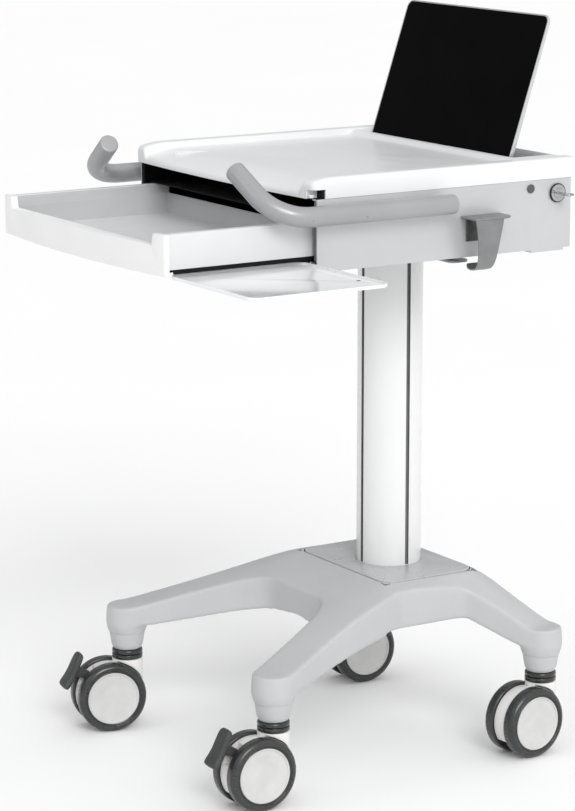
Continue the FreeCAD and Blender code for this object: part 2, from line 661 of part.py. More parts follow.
def slide_middles():
    """Middle members, which run half as far as the drawer."""
    forward = DRAWER_TRAVEL / 2
    channel = inverted_channel(MIDDLE_HALF_WIDTH, SLIDE_FRONT - forward, SLIDE_REAR - forward,
                               MIDDLE_BOTTOM, MIDDLE_TOP)
    return Part.makeCompound([channel, mirrored(channel)])


def slide_inners():
    """Inner members, fastened under the sides of the tub."""
    channel = inverted_channel(SLIDE_HALF_WIDTH, DRAWER_FRONT + 2, DRAWER_REAR - 1,
                               INNER_BOTTOM, DRAWER_BOTTOM)
    return Part.makeCompound([channel, mirrored(channel)])


# ================================================================= mouse tray
def mouse_tray():
    """Shallow tray with a raised rim and an ear round its swing pin."""
    rim, floor = 3.0, 2.2
    pivot_x, pivot_y = TRAY_PIVOT
    tray = rounded_block(TRAY_LEFT, TRAY_RIGHT, TRAY_FRONT, TRAY_REAR, TRAY_BOTTOM, TRAY_TOP,
                         TRAY_CORNER)
    tray = tray.cut(rounded_block(TRAY_LEFT + rim, TRAY_RIGHT - rim, TRAY_FRONT + rim,
                                  TRAY_REAR - rim, TRAY_BOTTOM + floor, TRAY_TOP + 1,
                                  TRAY_CORNER - rim))
    ear_top = TRAY_BOTTOM + TRAY_EAR_THICKNESS
    ear = rod(TRAY_EAR_RADIUS, (pivot_x, pivot_y, TRAY_BOTTOM), (pivot_x, pivot_y, ear_top))
    strap = block(pivot_x - TRAY_EAR_RADIUS, pivot_x + TRAY_EAR_RADIUS, TRAY_REAR - 2, pivot_y,
                  TRAY_BOTTOM, ear_top)
    tray = fuse([tray, ear, strap])
    tray = tray.cut(rod(TRAY_PIN_RADIUS + PIN_FIT, (pivot_x, pivot_y, TRAY_BOTTOM - 1),
                        (pivot_x, pivot_y, TRAY_TOP + 1)))
    hang_x, hang_y = TRAY_RIGHT - 56, TRAY_REAR - 13
    return tray.cut(rod(3, (hang_x, hang_y, TRAY_BOTTOM - 1), (hang_x, hang_y, TRAY_TOP)))


def tray_pivot():
    """Shouldered pin on the floor of the box that the tray swings on."""
    x, y = TRAY_PIVOT
    floor = BOX_BOTTOM + SHEET
    pin = rod(TRAY_PIN_RADIUS, (x, y, floor), (x, y, TRAY_TOP))
    washer = rod(7, (x, y, floor), (x, y, TRAY_BOTTOM - BODY_GAP))
    head = rod(6, (x, y, TRAY_BOTTOM + TRAY_EAR_THICKNESS + BODY_GAP), (x, y, TRAY_TOP))
    return fuse([pin, washer, head])


# ================================================================= laptop
def lean(shape):
    """Tip an upright lid back to its working angle about its hinge."""
    shape.rotate(Vector(0, *LAPTOP_HINGE), X_AXIS, -LAPTOP_LEAN)
    return shape


def laptop_base():
    """Keyboard half of the laptop, lying closed off on the shelf."""
    y, z = LAPTOP_HINGE
    return rounded_block(-LAPTOP_X, LAPTOP_X, y - 230, y - 6, SHELF_Z + 2, z + 3.5, 10)


def laptop_lid():
    """Screen housing with its hinge barrel."""
    y, z = LAPTOP_HINGE
    back = LID_THICKNESS / 2
    lid = block(-LAPTOP_X, LAPTOP_X, y - back, y + back, z + 3, z + LID_LENGTH)
    corners = [e for e in lid.Edges if abs(e.tangentAt(e.FirstParameter).y) > 0.99
               and e.CenterOfMass.z > z + 50]
    lid = lid.makeFillet(LID_CORNER, corners)
    inset = LID_BEZEL
    pocket = block(-LAPTOP_X + inset, LAPTOP_X - inset, y - back - 1,
                   y - back + GLASS_THICKNESS, z + GLASS_BOTTOM, z + LID_LENGTH - inset)
    corners = [e for e in pocket.Edges if abs(e.tangentAt(e.FirstParameter).y) > 0.99
               and e.CenterOfMass.z > z + 50]
    pocket = pocket.makeFillet(LID_CORNER - inset, corners)
    barrel = rod(4.0, (-BARREL_HALF, y, z), (BARREL_HALF, y, z))
    return lean(fuse([lid.cut(pocket), barrel]))


def laptop_screen():
    """Glass sheet that fills the front of the screen housing."""
    y, z = LAPTOP_HINGE
    front = y - LID_THICKNESS / 2
    inset = LID_BEZEL
    glass = block(-LAPTOP_X + inset, LAPTOP_X - inset, front, front + GLASS_THICKNESS,
                  z + GLASS_BOTTOM, z + LID_LENGTH - inset)
    corners = [e for e in glass.Edges if abs(e.tangentAt(e.FirstParameter).y) > 0.99
               and e.CenterOfMass.z > z + 50]
    return lean(glass.makeFillet(LID_CORNER - inset, corners))


# ================================================================= fittings
def handle():
    """Right push handle: a bar along the box, bent up and in at the front."""
    rear = Vector(HANDLE_X, HANDLE_REAR, HANDLE_Z)
    corner = Vector(HANDLE_X, HANDLE_CORNER, HANDLE_Z)
    tip = Vector(*HANDLE_TIP)
    inward = (tip - corner).normalize()
    forward = Vector(0, -1, 0)
    half_turn = forward.getAngle(inward) / 2
    run = HANDLE_BEND * math.tan(half_turn)
    start, end = corner - forward * run, corner + inward * run
    middle_way = (inward - forward).normalize()
    centre = corner + middle_way * (HANDLE_BEND / math.cos(half_turn))
    bend = Part.Arc(start, centre - middle_way * HANDLE_BEND, end).toShape()
    path = Part.Wire([Part.makeLine(rear, start), bend, Part.makeLine(end, tip)])
    section = Part.Wire([Part.makeCircle(HANDLE_RADIUS, rear, forward)])
    bar = path.makePipeShell([section], True, False)
    caps = [handle_cap(rear, Vector(0, 1, 0)), handle_cap(tip, inward)]
    feet = [rod(FOOT_RADIUS, (BOX_X, y, HANDLE_Z), (HANDLE_X, y, HANDLE_Z))
            for y in HANDLE_FEET]
    return fuse([bar] + caps + feet)


def handle_cap(end, outward):
    """Flat end of a handle bar with a rounded edge."""
    depth = 3.0
    cap = rod(HANDLE_RADIUS, end - outward, end + outward * depth)
    face_centre = end + outward * depth
    rim = [e for e in cap.Edges if is_circle(e, HANDLE_RADIUS)
           and (e.Curve.Center - face_centre).Length < 0.1]
    return cap.makeFillet(depth - 0.2, rim)


def side_hook():
    """Bag hook: a tongue on the box, a tapering strap and an upturned lip."""
    wall, curl = HOOK_SHEET, HOOK_CURL
    face, outer = BOX_X, BOX_X + HOOK_REACH
    y0, y1 = HOOK_FRONT, HOOK_REAR
    strap_rear = y1 - 12
    tongue_bottom = HOOK_TOP - wall
    tongue = block(face, outer, y0, y1, tongue_bottom, HOOK_TOP)
    tongue = tongue.makeFillet(14, [e for e in tongue.Edges if e.CenterOfMass.x > outer - 1
                                    and e.CenterOfMass.y > y1 - 1
                                    and abs(e.tangentAt(e.FirstParameter).z) > 0.99])
    plate = block(face, face + wall, y0 + 8, y1 - 20, 740, tongue_bottom + 1)
    strap = block(outer - wall, outer, y0, strap_rear, HOOK_BOTTOM + curl, tongue_bottom + 1)
    axis = (outer - curl, HOOK_BOTTOM + curl)
    elbow = rod(curl, (axis[0], y0, axis[1]), (axis[0], strap_rear, axis[1]))
    elbow = elbow.cut(rod(curl - wall, (axis[0], y0 - 1, axis[1]), (axis[0], y1, axis[1])))
    elbow = elbow.cut(block(face, outer + 1, y0 - 1, y1, axis[1], HOOK_TOP))
    elbow = elbow.cut(block(face, axis[0], y0 - 1, y1, HOOK_BOTTOM - 1, HOOK_TOP))
    floor = block(face, axis[0], y0, strap_rear, HOOK_BOTTOM, HOOK_BOTTOM + wall)
    lip = block(face, face + wall, y0, strap_rear, HOOK_BOTTOM, HOOK_BOTTOM + 7)
    hook = fuse([tongue, plate, strap, elbow, floor, lip])
    taper_front = prism([(face - 1, y0 - 1, 690), (face - 1, y0 + 9, 690),
                         (face - 1, y0 - 1, 764)], (50, 0, 0))
    taper_rear = prism([(face - 1, strap_rear + 1, 690), (face - 1, strap_rear - 8, 690),
                        (face - 1, strap_rear + 1, 768)], (50, 0, 0))
    return hook.cut(taper_front).cut(taper_rear)


def side_rod(radius, y, z, x0, x1):
    """A cylinder square to the right side of the box, X counted from that side."""
    return rod(radius, (BOX_X + x0, y, z), (BOX_X + x1, y, z))


def lock_body():
    """Chromed lock barrel with a flange on the right side of the box."""
    flange = side_rod(LOCK_FLANGE_RADIUS, LOCK_Y, LOCK_Z, 0, 3)
    flange = flange.makeFillet(1.5, [e for e in flange.Edges
                                     if is_circle(e, LOCK_FLANGE_RADIUS)
                                     and e.CenterOfMass.x > BOX_X + 2])
    body = fuse([flange, side_rod(9.4, LOCK_Y, LOCK_Z, -22, 1)])
    return body.cut(side_rod(PLUG_RADIUS + PIN_FIT, LOCK_Y, LOCK_Z, -23, 4))


def lock_plug():
    """Turning plug of the lock, with the bolt cam on its inner end."""
    plug = side_rod(PLUG_RADIUS, LOCK_Y, LOCK_Z, -CAM_DEPTH, 3.2)
    cam_x = BOX_X - CAM_DEPTH
    cam = block(cam_x, cam_x + 2.5, LOCK_Y - 6, LOCK_Y + 6, LOCK_Z - 24, LOCK_Z + 6)
    slot = block(BOX_X - 14, BOX_X + 4, LOCK_Y - 3.6, LOCK_Y + 3.6, LOCK_Z - 1, LOCK_Z + 1)
    return fuse([plug, cam]).cut(slot)


def lock_key():
    """Key standing in the lock."""
    z0, z1 = LOCK_Z - KEY_HALF, LOCK_Z + KEY_HALF
    blade = block(BOX_X - 14, BOX_X + 17, LOCK_Y - 3.5, LOCK_Y + 3.5, z0, z1)
    bow = rod(8.5, (BOX_X + 24, LOCK_Y, z0), (BOX_X + 24, LOCK_Y, z1))
    hole = rod(2.6, (BOX_X + 28, LOCK_Y, z0 - 1), (BOX_X + 28, LOCK_Y, z1 + 1))
    return fuse([blade, bow]).cut(hole)


def panel_plug():
    """Small domed plug in the right side of the box."""
    cap = side_rod(6, CAP_Y, CAP_Z, 0, 2)
    cap = cap.makeFillet(1.2, [e for e in cap.Edges if is_circle(e, 6)
                               and e.CenterOfMass.x > BOX_X + 1])
    return fuse([cap, side_rod(4.4, CAP_Y, CAP_Z, -5, 1)])


def lift_lever():
    """Paddle under the right side that releases the gas spring."""
    x, z = LEVER_PIN
    paddle = block(x - 6, LEVER_TIP, LEVER_FRONT + 6, LEVER_REAR - 6, z - 1.5, z + 1.5)
    paddle = paddle.makeFillet(8, [e for e in paddle.Edges if e.CenterOfMass.x > LEVER_TIP - 1
                                   and abs(e.tangentAt(e.FirstParameter).z) > 0.99])
    return fuse([paddle, rod(LEVER_PIN_RADIUS, (x, LEVER_FRONT, z), (x, LEVER_REAR, z))])


def build():
    """Write every sub-part of the cart."""
    os.makedirs("parts", exist_ok=True)
    build_casters()
    right_handle = handle()
    pieces = {
        "base_casting": base_casting(),
        "column_plate": column_plate(),
        "caster_sockets": caster_sockets(),
        "column_tube": column_tube(),
        "mast_tube": mast_tube(),
        "gas_cylinder": gas_cylinder(),
        "gas_rod": gas_rod(),
        "head_bracket": head_bracket(),
        "box_pan": box_pan(),
        "laptop_shelf": laptop_shelf(),
        "box_screws": box_screws(),
        "top_cover": top_cover(),
        "drawer_tub": drawer_tub(),
        "drawer_front": drawer_front(),
        "slide_outers": slide_outers(),
        "slide_middles": slide_middles(),
        "slide_inners": slide_inners(),
        "mouse_tray": mouse_tray(),
        "tray_pivot": tray_pivot(),
        "laptop_base": laptop_base(),
        "laptop_lid": laptop_lid(),
        "laptop_screen": laptop_screen(),
        "handle_right": right_handle,
        "handle_left": mirrored(right_handle),
        "side_hook": side_hook(),
        "lock_body": lock_body(),
        "lock_plug": lock_plug(),
        "lock_key": lock_key(),
        "panel_plug": panel_plug(),
        "lift_lever": lift_lever(),
    }
    for name, shape in pieces.items():
        save(name, shape)


build()
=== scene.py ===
import json
import math

import bmesh
import bpy
from mathutils import Matrix, Vector


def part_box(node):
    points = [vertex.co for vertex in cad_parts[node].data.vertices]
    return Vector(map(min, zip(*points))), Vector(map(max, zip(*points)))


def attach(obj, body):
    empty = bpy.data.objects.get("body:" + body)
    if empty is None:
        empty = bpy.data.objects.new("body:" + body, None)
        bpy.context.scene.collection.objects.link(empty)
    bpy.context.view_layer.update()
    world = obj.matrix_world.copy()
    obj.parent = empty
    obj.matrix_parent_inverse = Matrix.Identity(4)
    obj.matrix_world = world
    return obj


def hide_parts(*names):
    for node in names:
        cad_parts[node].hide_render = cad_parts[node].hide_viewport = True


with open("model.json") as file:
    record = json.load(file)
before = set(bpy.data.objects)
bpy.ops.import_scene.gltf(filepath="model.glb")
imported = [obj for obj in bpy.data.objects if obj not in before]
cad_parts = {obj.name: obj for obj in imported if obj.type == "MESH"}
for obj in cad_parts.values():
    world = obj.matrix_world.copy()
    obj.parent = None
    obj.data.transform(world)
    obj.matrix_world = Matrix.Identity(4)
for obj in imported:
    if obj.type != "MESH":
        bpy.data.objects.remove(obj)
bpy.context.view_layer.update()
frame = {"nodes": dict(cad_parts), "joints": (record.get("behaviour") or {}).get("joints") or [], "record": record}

MM = 0.001
WHEELS = ("outer", "inner")
CASTERS = ("front_right", "front_left", "rear_right", "rear_left")
JOINTS = {joint["name"]: joint for joint in frame["joints"]}
STEMS = [[v / MM for v in JOINTS["caster_%s_swivel" % name]["pos_m"][:2]] for name in CASTERS]
UPRIGHT = Matrix.Rotation(-math.pi / 2, 4, "Y")    # stands a lathe's axis up
SEAM = 141.0               # height of the joint between arm ends and sockets, mm


# ---------------------------------------------------------------- materials
class Finish:
    """A procedural material: colour mottling, uneven gloss and a fine surface grain."""

    def __init__(self, name, roughness, metallic=0.0, specular=0.5, coat=0.0):
        self.material = bpy.data.materials.new(name)
        self.material.use_nodes = True
        self.tree = self.material.node_tree
        self.shader = self.tree.nodes["Principled BSDF"]
        self.shader.inputs["Metallic"].default_value = metallic
        self.shader.inputs["Roughness"].default_value = roughness
        self.shader.inputs["Specular IOR Level"].default_value = specular
        self.shader.inputs["Coat Weight"].default_value = coat
        self.shader.inputs["Coat Roughness"].default_value = 0.08
        self.place = self.tree.nodes.new("ShaderNodeTexCoord").outputs["Object"]
        self.normal = None

    def noise(self, scale, detail=4.0, stretch=(1, 1, 1), rough=0.55):
        """Noise in object space; scale is in cycles per metre."""
        mapping = self.tree.nodes.new("ShaderNodeMapping")
        mapping.inputs["Scale"].default_value = stretch
        self.tree.links.new(self.place, mapping.inputs["Vector"])
        noise = self.tree.nodes.new("ShaderNodeTexNoise")
        noise.inputs["Scale"].default_value = scale
        noise.inputs["Detail"].default_value = detail
        noise.inputs["Roughness"].default_value = rough
        self.tree.links.new(mapping.outputs["Vector"], noise.inputs["Vector"])
        return noise.outputs["Fac"]

    def colour(self, light, dark, scale, detail=4.0, stretch=(1, 1, 1)):
        """Colour that wanders between two close tones."""
        ramp = self.tree.nodes.new("ShaderNodeValToRGB")
        ramp.color_ramp.elements[0].position = 0.32
        ramp.color_ramp.elements[0].color = (*dark, 1)
        ramp.color_ramp.elements[1].position = 0.68
        ramp.color_ramp.elements[1].color = (*light, 1)
        self.tree.links.new(self.noise(scale, detail, stretch), ramp.inputs["Fac"])
        self.tree.links.new(ramp.outputs["Color"], self.shader.inputs["Base Color"])
        return self

    def gloss(self, low, high, scale, stretch=(1, 1, 1)):
        """Roughness that varies between two values."""
        spread = self.tree.nodes.new("ShaderNodeMapRange")
        spread.inputs["From Min"].default_value = 0.3
        spread.inputs["From Max"].default_value = 0.7
        spread.inputs["To Min"].default_value = low
        spread.inputs["To Max"].default_value = high
        self.tree.links.new(self.noise(scale, 5.0, stretch), spread.inputs["Value"])
        self.tree.links.new(spread.outputs["Result"], self.shader.inputs["Roughness"])
        return self

    def grain(self, scale, depth_mm, strength=0.5, detail=2.0, stretch=(1, 1, 1)):
        """Bump of a given depth; several grains add up."""
        bump = self.tree.nodes.new("ShaderNodeBump")
        bump.inputs["Strength"].default_value = strength
        bump.inputs["Distance"].default_value = depth_mm * MM
        self.tree.links.new(self.noise(scale, detail, stretch), bump.inputs["Height"])
        if self.normal:
            self.tree.links.new(self.normal, bump.inputs["Normal"])
        self.normal = bump.outputs["Normal"]
        self.tree.links.new(self.normal, self.shader.inputs["Normal"])
        return self


def grey(value, warmth=0.0):
    """A near-neutral tone; warmth above 0 is creamy, below 0 is bluish."""
    return (value * (1 + warmth), value, value * (1 - warmth))


# Each finish: material name; roughness, metallic, specular and coat; light tone, dark tone and
# warmth; scale (and detail) of the mottling; gloss; grains.
FINISH_TABLE = {
    "cast_aluminium_paint": (
        "cast_paint", (0.42, 0.0, 0.4), (0.5, 0.475, -0.012), (9,),
        (0.36, 0.50, 30), [(190, 0.02, 0.2), (55, 0.2, 0.08)]),
    "plate_paint": (
        "plate_paint", (0.3, 0.1, 0.4), (0.5, 0.475, -0.012), (14,),
        (0.26, 0.36, 40), [(160, 0.01, 0.2)]),
    "column_white": (
        "column_white", (0.2, 0.0, 0.5, 0.25), (0.77, 0.745, 0.0), (6,),
        (0.16, 0.26, 20, (1, 1, 0.15)), [(260, 0.01, 0.25, 2.0, (1, 1, 0.05))]),
    "panel_silver": (
        "panel_silver", (0.36, 0.3, 0.4), (0.565, 0.535, -0.02), (7,),
        (0.30, 0.42, 45), [(200, 0.012, 0.2), (30, 0.12, 0.08)]),
    "cover_white": (
        "cover_white", (0.3, 0.0, 0.4, 0.05), (0.78, 0.755, -0.01), (8,),
        (0.28, 0.38, 35), [(150, 0.01, 0.2)]),
    "drawer_white": (
        "drawer_white", (0.38, 0.0, 0.4), (0.7, 0.67, -0.008), (10,),
        (0.32, 0.44, 30), [(160, 0.012, 0.2)]),
    # Painted shade: darker copies of drawer_white for the inside walls and the floor of the drawer.
    "drawer_inside_painted_shade": (
        "drawer_inside_painted_shade", (0.42, 0.0, 0.4), (0.51, 0.485, -0.008), (10,),
        (0.36, 0.48, 30), [(160, 0.012, 0.2)]),
    "drawer_floor_painted_shade": (
        "drawer_floor_painted_shade", (0.42, 0.0, 0.4), (0.63, 0.605, -0.008), (10,),
        (0.36, 0.48, 30), [(160, 0.012, 0.2)]),
    # Painted light: a lighter copy of drawer_white for the drawer's front.
    "drawer_front_painted_light": (
        "drawer_front_painted_light", (0.36, 0.0, 0.4), (0.84, 0.815, 0.0), (10,),
        (0.3, 0.42, 30), [(160, 0.012, 0.2)]),
    "tray_white": (
        "tray_white", (0.16, 0.0, 0.5, 0.25), (0.86, 0.835, -0.01), (9,),
        (0.12, 0.2, 25), [(300, 0.005, 0.2)]),
    "handle_grey": (
        "handle_grey", (0.32, 0.25), (0.36, 0.335, -0.02), (16,),
        (0.27, 0.38, 50), [(200, 0.012, 0.2)]),
    "hook_pewter": (
        "hook_pewter", (0.34, 0.7), (0.28, 0.24, -0.01), (40,),
        (0.28, 0.44, 90), [(300, 0.02, 0.4, 3.0, (0.25, 1, 1))]),
    "chrome": (
        "chrome", (0.12, 1.0), (0.5, 0.4, 0.0), (60,),
        (0.07, 0.2, 160), [(200, 0.01, 0.25)]),
    "lock_ring": (
        "lock_ring", (0.25, 0.8), (0.05, 0.03, 0.0), (120,),
        (0.18, 0.34, 160), []),
    "steel_bare": (
        "steel_bare", (0.36, 0.9), (0.55, 0.46, 0.01), (60,),
        (0.28, 0.46, 120, (1, 0.1, 1)), [(600, 0.02, 0.5, 3.0, (1, 0.08, 1))]),
    # Also used as painted shade: inside the box, at the back of the corner notch and on the left post beside the
    # drawer.
    "shelf_black": (
        "shelf_black", (0.6, 0.0, 0.15), (0.008, 0.005, 0.0), (30,),
        (0.5, 0.66, 60), [(200, 0.01, 0.25)]),
    # Used as painted shade in the column's grooves, in the gap round the base plate and on the right post beside
    # the drawer.
    "groove_grey": (
        "groove_grey", (0.5, 0.0, 0.3), (0.16, 0.13, 0.0), (40,),
        (0.42, 0.58, 60, (1, 1, 0.1)), []),
    "gas_cylinder_black": (
        "gas_cylinder_black", (0.25, 0.0, 0.5, 0.3), (0.02, 0.014, 0.0), (30,),
        (0.2, 0.34, 60), []),
    "laptop_black": (
        "laptop_black", (0.42, 0.0, 0.3), (0.014, 0.01, 0.0), (25,),
        (0.36, 0.5, 80), [(600, 0.008, 0.3)]),
    "laptop_silver": (
        "laptop_silver", (0.3, 0.8), (0.66, 0.6, -0.01), (20,),
        (0.26, 0.38, 70), [(600, 0.006, 0.3)]),
    "screen_glass": (
        "screen_glass", (0.1, 0.0, 0.03), (0.0022, 0.0014, 0.0), (12,),
        (0.08, 0.14, 9), []),
    "caster_white": (
        "caster_white", (0.34, 0.0, 0.4), (0.74, 0.7, 0.012), (22,),
        (0.28, 0.42, 60), [(200, 0.01, 0.25)]),
    "cap_white": (
        "cap_white", (0.36, 0.0, 0.45), (0.58, 0.53, 0.006), (45, 6.0),
        (0.3, 0.44, 70), [(420, 0.03, 0.35, 4.0)]),
    "caster_collar": (
        "caster_collar", (0.2, 0.0, 0.5, 0.3), (0.022, 0.014, -0.02), (70,),
        (0.14, 0.3, 120), [(500, 0.01, 0.3)]),
    "socket_grey": (
        "socket_grey", (0.42, 0.0, 0.4), (0.5, 0.475, -0.012), (16,),
        (0.36, 0.5, 40), [(190, 0.02, 0.2)]),
    "pedal_grey": (
        "pedal_grey", (0.5, 0.0, 0.35), (0.055, 0.042, -0.02), (60,),
        (0.42, 0.6, 90), [(700, 0.05, 0.5)]),
    "tyre": (
        "tyre", (0.26, 0.0, 0.5, 0.15), (0.032, 0.022, -0.03), (55, 6.0),
        (0.2, 0.36, 70), [(500, 0.02, 0.35, 3.0)]),
    # Also used as painted shade on the hook's back plate.
    "plug_grey": (
        "plug_grey", (0.4, 0.5), (0.12, 0.09, 0.0), (120,),
        (0.3, 0.5, 200), []),
}


def make_finish(name, shader, tones, mottling, gloss, grains):
    """One finish from its row of the table."""
    light, dark, warmth = tones
    finish = Finish(name, *shader).colour(grey(light, warmth), grey(dark, warmth), *mottling)
    finish.gloss(*gloss)
    for grain in grains:
        finish.grain(*grain)
    return finish.material


FINISHES = {slot: make_finish(*row) for slot, row in FINISH_TABLE.items()}
NODE_SLOT = {part["node"]: part["material_slot"] for part in frame["record"]["subparts"]}
NODE_BODY = {node: body for body, nodes in frame["record"]["behaviour"]["bodies"].items()
             for node in nodes}


# ---------------------------------------------------------------- mesh helpers
def from_bmesh(name, bm):
    """A new object from a bmesh, with its normals pointing out."""
    bmesh.ops.recalc_face_normals(bm, faces=bm.faces)
    mesh = bpy.data.meshes.new(name)
    bm.to_mesh(mesh)
    bm.free()
    obj = bpy.data.objects.new(name, mesh)
    bpy.context.scene.collection.objects.link(obj)
    return obj


def from_faces(name, points, faces):
    """A new object from points and faces."""
    bm = bmesh.new()
    verts = [bm.verts.new(p) for p in points]
    for face in faces:
        bm.faces.new([verts[i] for i in face])
    return from_bmesh(name, bm)


def applied(obj):
    """Replace an object's mesh by what its modifiers make of it."""
    graph = bpy.context.evaluated_depsgraph_get()
    mesh = bpy.data.meshes.new_from_object(obj.evaluated_get(graph))
    obj.modifiers.clear()
    obj.data = mesh
    return obj


def combine(obj, tool, operation="DIFFERENCE"):
    """Cut a tool out of an object, or join it on, and remove the tool."""
    modifier = obj.modifiers.new("combine", "BOOLEAN")
    modifier.operation = operation
    modifier.object = tool
    modifier.solver = "EXACT"
    applied(obj)
    bpy.data.objects.remove(tool)
    return obj


def bevelled(obj, width, segments=3, angle=35):
    """Round the sharp edges of an object."""
    bevel = obj.modifiers.new("edges", "BEVEL")
    bevel.width = width * MM
    bevel.segments = segments
    bevel.limit_method = "ANGLE"
    bevel.angle_limit = math.radians(angle)
    bevel.miter_outer = "MITER_ARC"
    return applied(obj)


def piece(obj, node, finish=None, smooth=32, stands_in=True):
    """Finish a piece: shading, a material (its slot's finish unless another is named), body, and whether it takes
    the CAD node's place.
    """
    slot = NODE_SLOT[node]
    obj.data.shade_smooth()
    obj.data.set_sharp_from_angle(angle=math.radians(smooth))
    obj.data.materials.clear()
    obj.data.materials.append(FINISHES[finish or slot])
    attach(obj, NODE_BODY[node])
    if stands_in:
        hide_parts(node)
    return obj


def extra(obj, node, finish, name):
    """Finish a small piece that the CAD model leaves out; it goes with a node."""
    obj.name = name
    return piece(obj, node, finish, stands_in=False)


def paint(obj, finish, test):
    """Give another finish to the faces whose centre, in mm, passes the test."""
    obj.data.materials.append(FINISHES[finish])
    index = len(obj.data.materials) - 1
    for face in obj.data.polygons:
        if test(*(face.center / MM)):
            face.material_index = index


def softened(node, width, angle=35, finish=None, reshape=None):
    """The shape of a CAD node with its sharp edges rounded, and its points moved by reshape."""
    bm = bmesh.new()
    bm.from_mesh(frame["nodes"][node].data)
    bmesh.ops.remove_doubles(bm, verts=bm.verts, dist=2e-6)
    if reshape:
        for vert in bm.verts:
            vert.co = reshape(vert.co / MM) * MM
    bmesh.ops.dissolve_limit(bm, angle_limit=math.radians(0.4), verts=bm.verts, edges=bm.edges)
    obj = from_bmesh(node + "_body", bm)
    bevelled(obj, width, angle=angle)
    return piece(obj, node, finish)


def ring_faces(rows, count, closed_rows=False):
    """Quads between consecutive rings of points."""
    faces = []
    last = rows if closed_rows else rows - 1
    for row in range(last):
        above = ((row + 1) % rows) * count
        for i in range(count):
            j = (i + 1) % count
            faces.append((row * count + i, row * count + j, above + j, above + i))
    return faces


def capped(rows, count):
    """Ring faces and the two ends that close them."""
    return ring_faces(rows, count) + [tuple(range(count)),
                                      tuple(range((rows - 1) * count, rows * count))]


def lathe(name, profile, matrix, segments=96, closed=False):
    """A (radius, along) profile in mm turned about local X; open profiles end in discs."""
    points = []
    for radius, along in profile:
        for i in range(segments):
            turn = 2 * math.pi * i / segments
            point = Vector((along, radius * math.cos(turn), radius * math.sin(turn))) * MM
            points.append(matrix @ point)
    rows = len(profile)
    faces = ring_faces(rows, segments, True) if closed else capped(rows, segments)
    return from_faces(name, points, faces)


def arc(centre, radius, start, end, steps):
    """Points on an arc in a plane; angles in degrees."""
    turns = [math.radians(start + (end - start) * i / steps) for i in range(steps + 1)]
    return [(centre[0] + radius * math.cos(t), centre[1] + radius * math.sin(t)) for t in turns]


def block(low, high):
    """A box as a plain object, in mm."""
    bm = bmesh.new()
    corners = [(x, y, z) for x in (low[0], high[0]) for y in (low[1], high[1])
               for z in (low[2], high[2])]
    for corner in corners:
        bm.verts.new(Vector(corner) * MM)
    bmesh.ops.convex_hull(bm, input=bm.verts)
    return from_bmesh("tool", bm)


def column_of(outline, z0, z1, name="tool"):
    """A plan outline in mm as an upright solid."""
    points = [Vector((x, y, z)) * MM for z in (z0, z1) for x, y in outline]
    return from_faces(name, points, capped(2, len(outline)))


def smooth_step(value):
    """0 below 0, 1 above 1, with a soft start and end."""
    t = min(1.0, max(0.0, value))
    return t * t * (3 - 2 * t)


def box_mm(node):
    """Lowest and highest corners of a CAD node, in mm."""
    low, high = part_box(node)
    return low / MM, high / MM


def rounded_rectangle(x0, x1, y0, y1, radius, steps=10):
    """Plan outline with round corners."""
    outline = arc((x1 - radius, y1 - radius), radius, 0, 90, steps)
    outline += arc((x0 + radius, y1 - radius), radius, 90, 180, steps)
    outline += arc((x0 + radius, y0 + radius), radius, 180, 270, steps)
    outline += arc((x1 - radius, y0 + radius), radius, 270, 360, steps)
    return outline


# ---------------------------------------------------------------- casters
def caster_frame(name):
    """Matrix from a caster's own frame, stem axis at its origin, to the cart's."""
    swivel = JOINTS["caster_%s_swivel" % name]["pos_m"]
    axle = JOINTS["caster_%s_outer_wheel_spin" % name]["axis"]
    yaw = math.atan2(axle[1], axle[0])
    return Matrix.Translation((swivel[0], swivel[1], 0)) @ Matrix.Rotation(yaw, 4, "Z")


def wheel_frame(name, wheel):
    """Matrix from a wheel's own frame, +X out of its cap, to the cart's."""
    joint = JOINTS["caster_%s_%s_wheel_spin" % (name, wheel)]
    turn = caster_frame(name).to_quaternion().to_matrix().to_4x4()
    place = Matrix.Translation(joint["pos_m"]) @ turn
    if wheel == "inner":
        place = place @ Matrix.Rotation(math.pi, 4, "Z")
    return place


def tyre_profile():
    """Closed section of a tyre: a crowned tread, a moulded side and a bead groove."""
    inner, outer, bead, crown = 11.5, 29.5, 38.0, 50.0
    shoulder = arc((outer - 7.5, crown - 7.5), 7.5, 90, 12, 10)
    profile = [(bead, inner), (47.4, inner)]
    profile += [(r, a) for a, r in arc((inner + 2.4, 47.4), 2.4, 180, 95, 5)]
    profile += [(49.95, 18.0)]
    profile += [(r, a) for a, r in shoulder]
    profile += [(41.6, outer + 0.15), (40.9, outer - 0.25), (40.5, outer - 0.9),
                (40.0, outer - 0.9), (39.6, outer - 0.3), (39.0, outer - 0.1), (bead, outer - 0.6)]
    return profile


def cap_profile():
    """Half section of a hub: web, bore end and the dished cap with its raised rim."""
    inner, face = 12.0, 28.6
    bore, web, steps = 4.05, 18.0, 16
    profile = [(bore, inner), (12.0, inner), (12.0, web), (33.0, web), (33.0, inner),
               (37.9, inner), (37.9, face - 0.2), (37.5, face + 0.35), (36.8, face + 0.6),
               (36.0, face + 0.45), (35.4, face - 0.1), (34.9, face - 0.9), (34.2, face - 1.3)]
    dish = [(34.2 * (1 - t / steps), face - 1.3 - 2.6 * smooth_step(t / steps * 1.6))
            for t in range(1, steps)]
    back = [(0.4, face - 3.9), (0.4, face - 7.0), (bore, face - 7.0)]
    return profile + dish + back


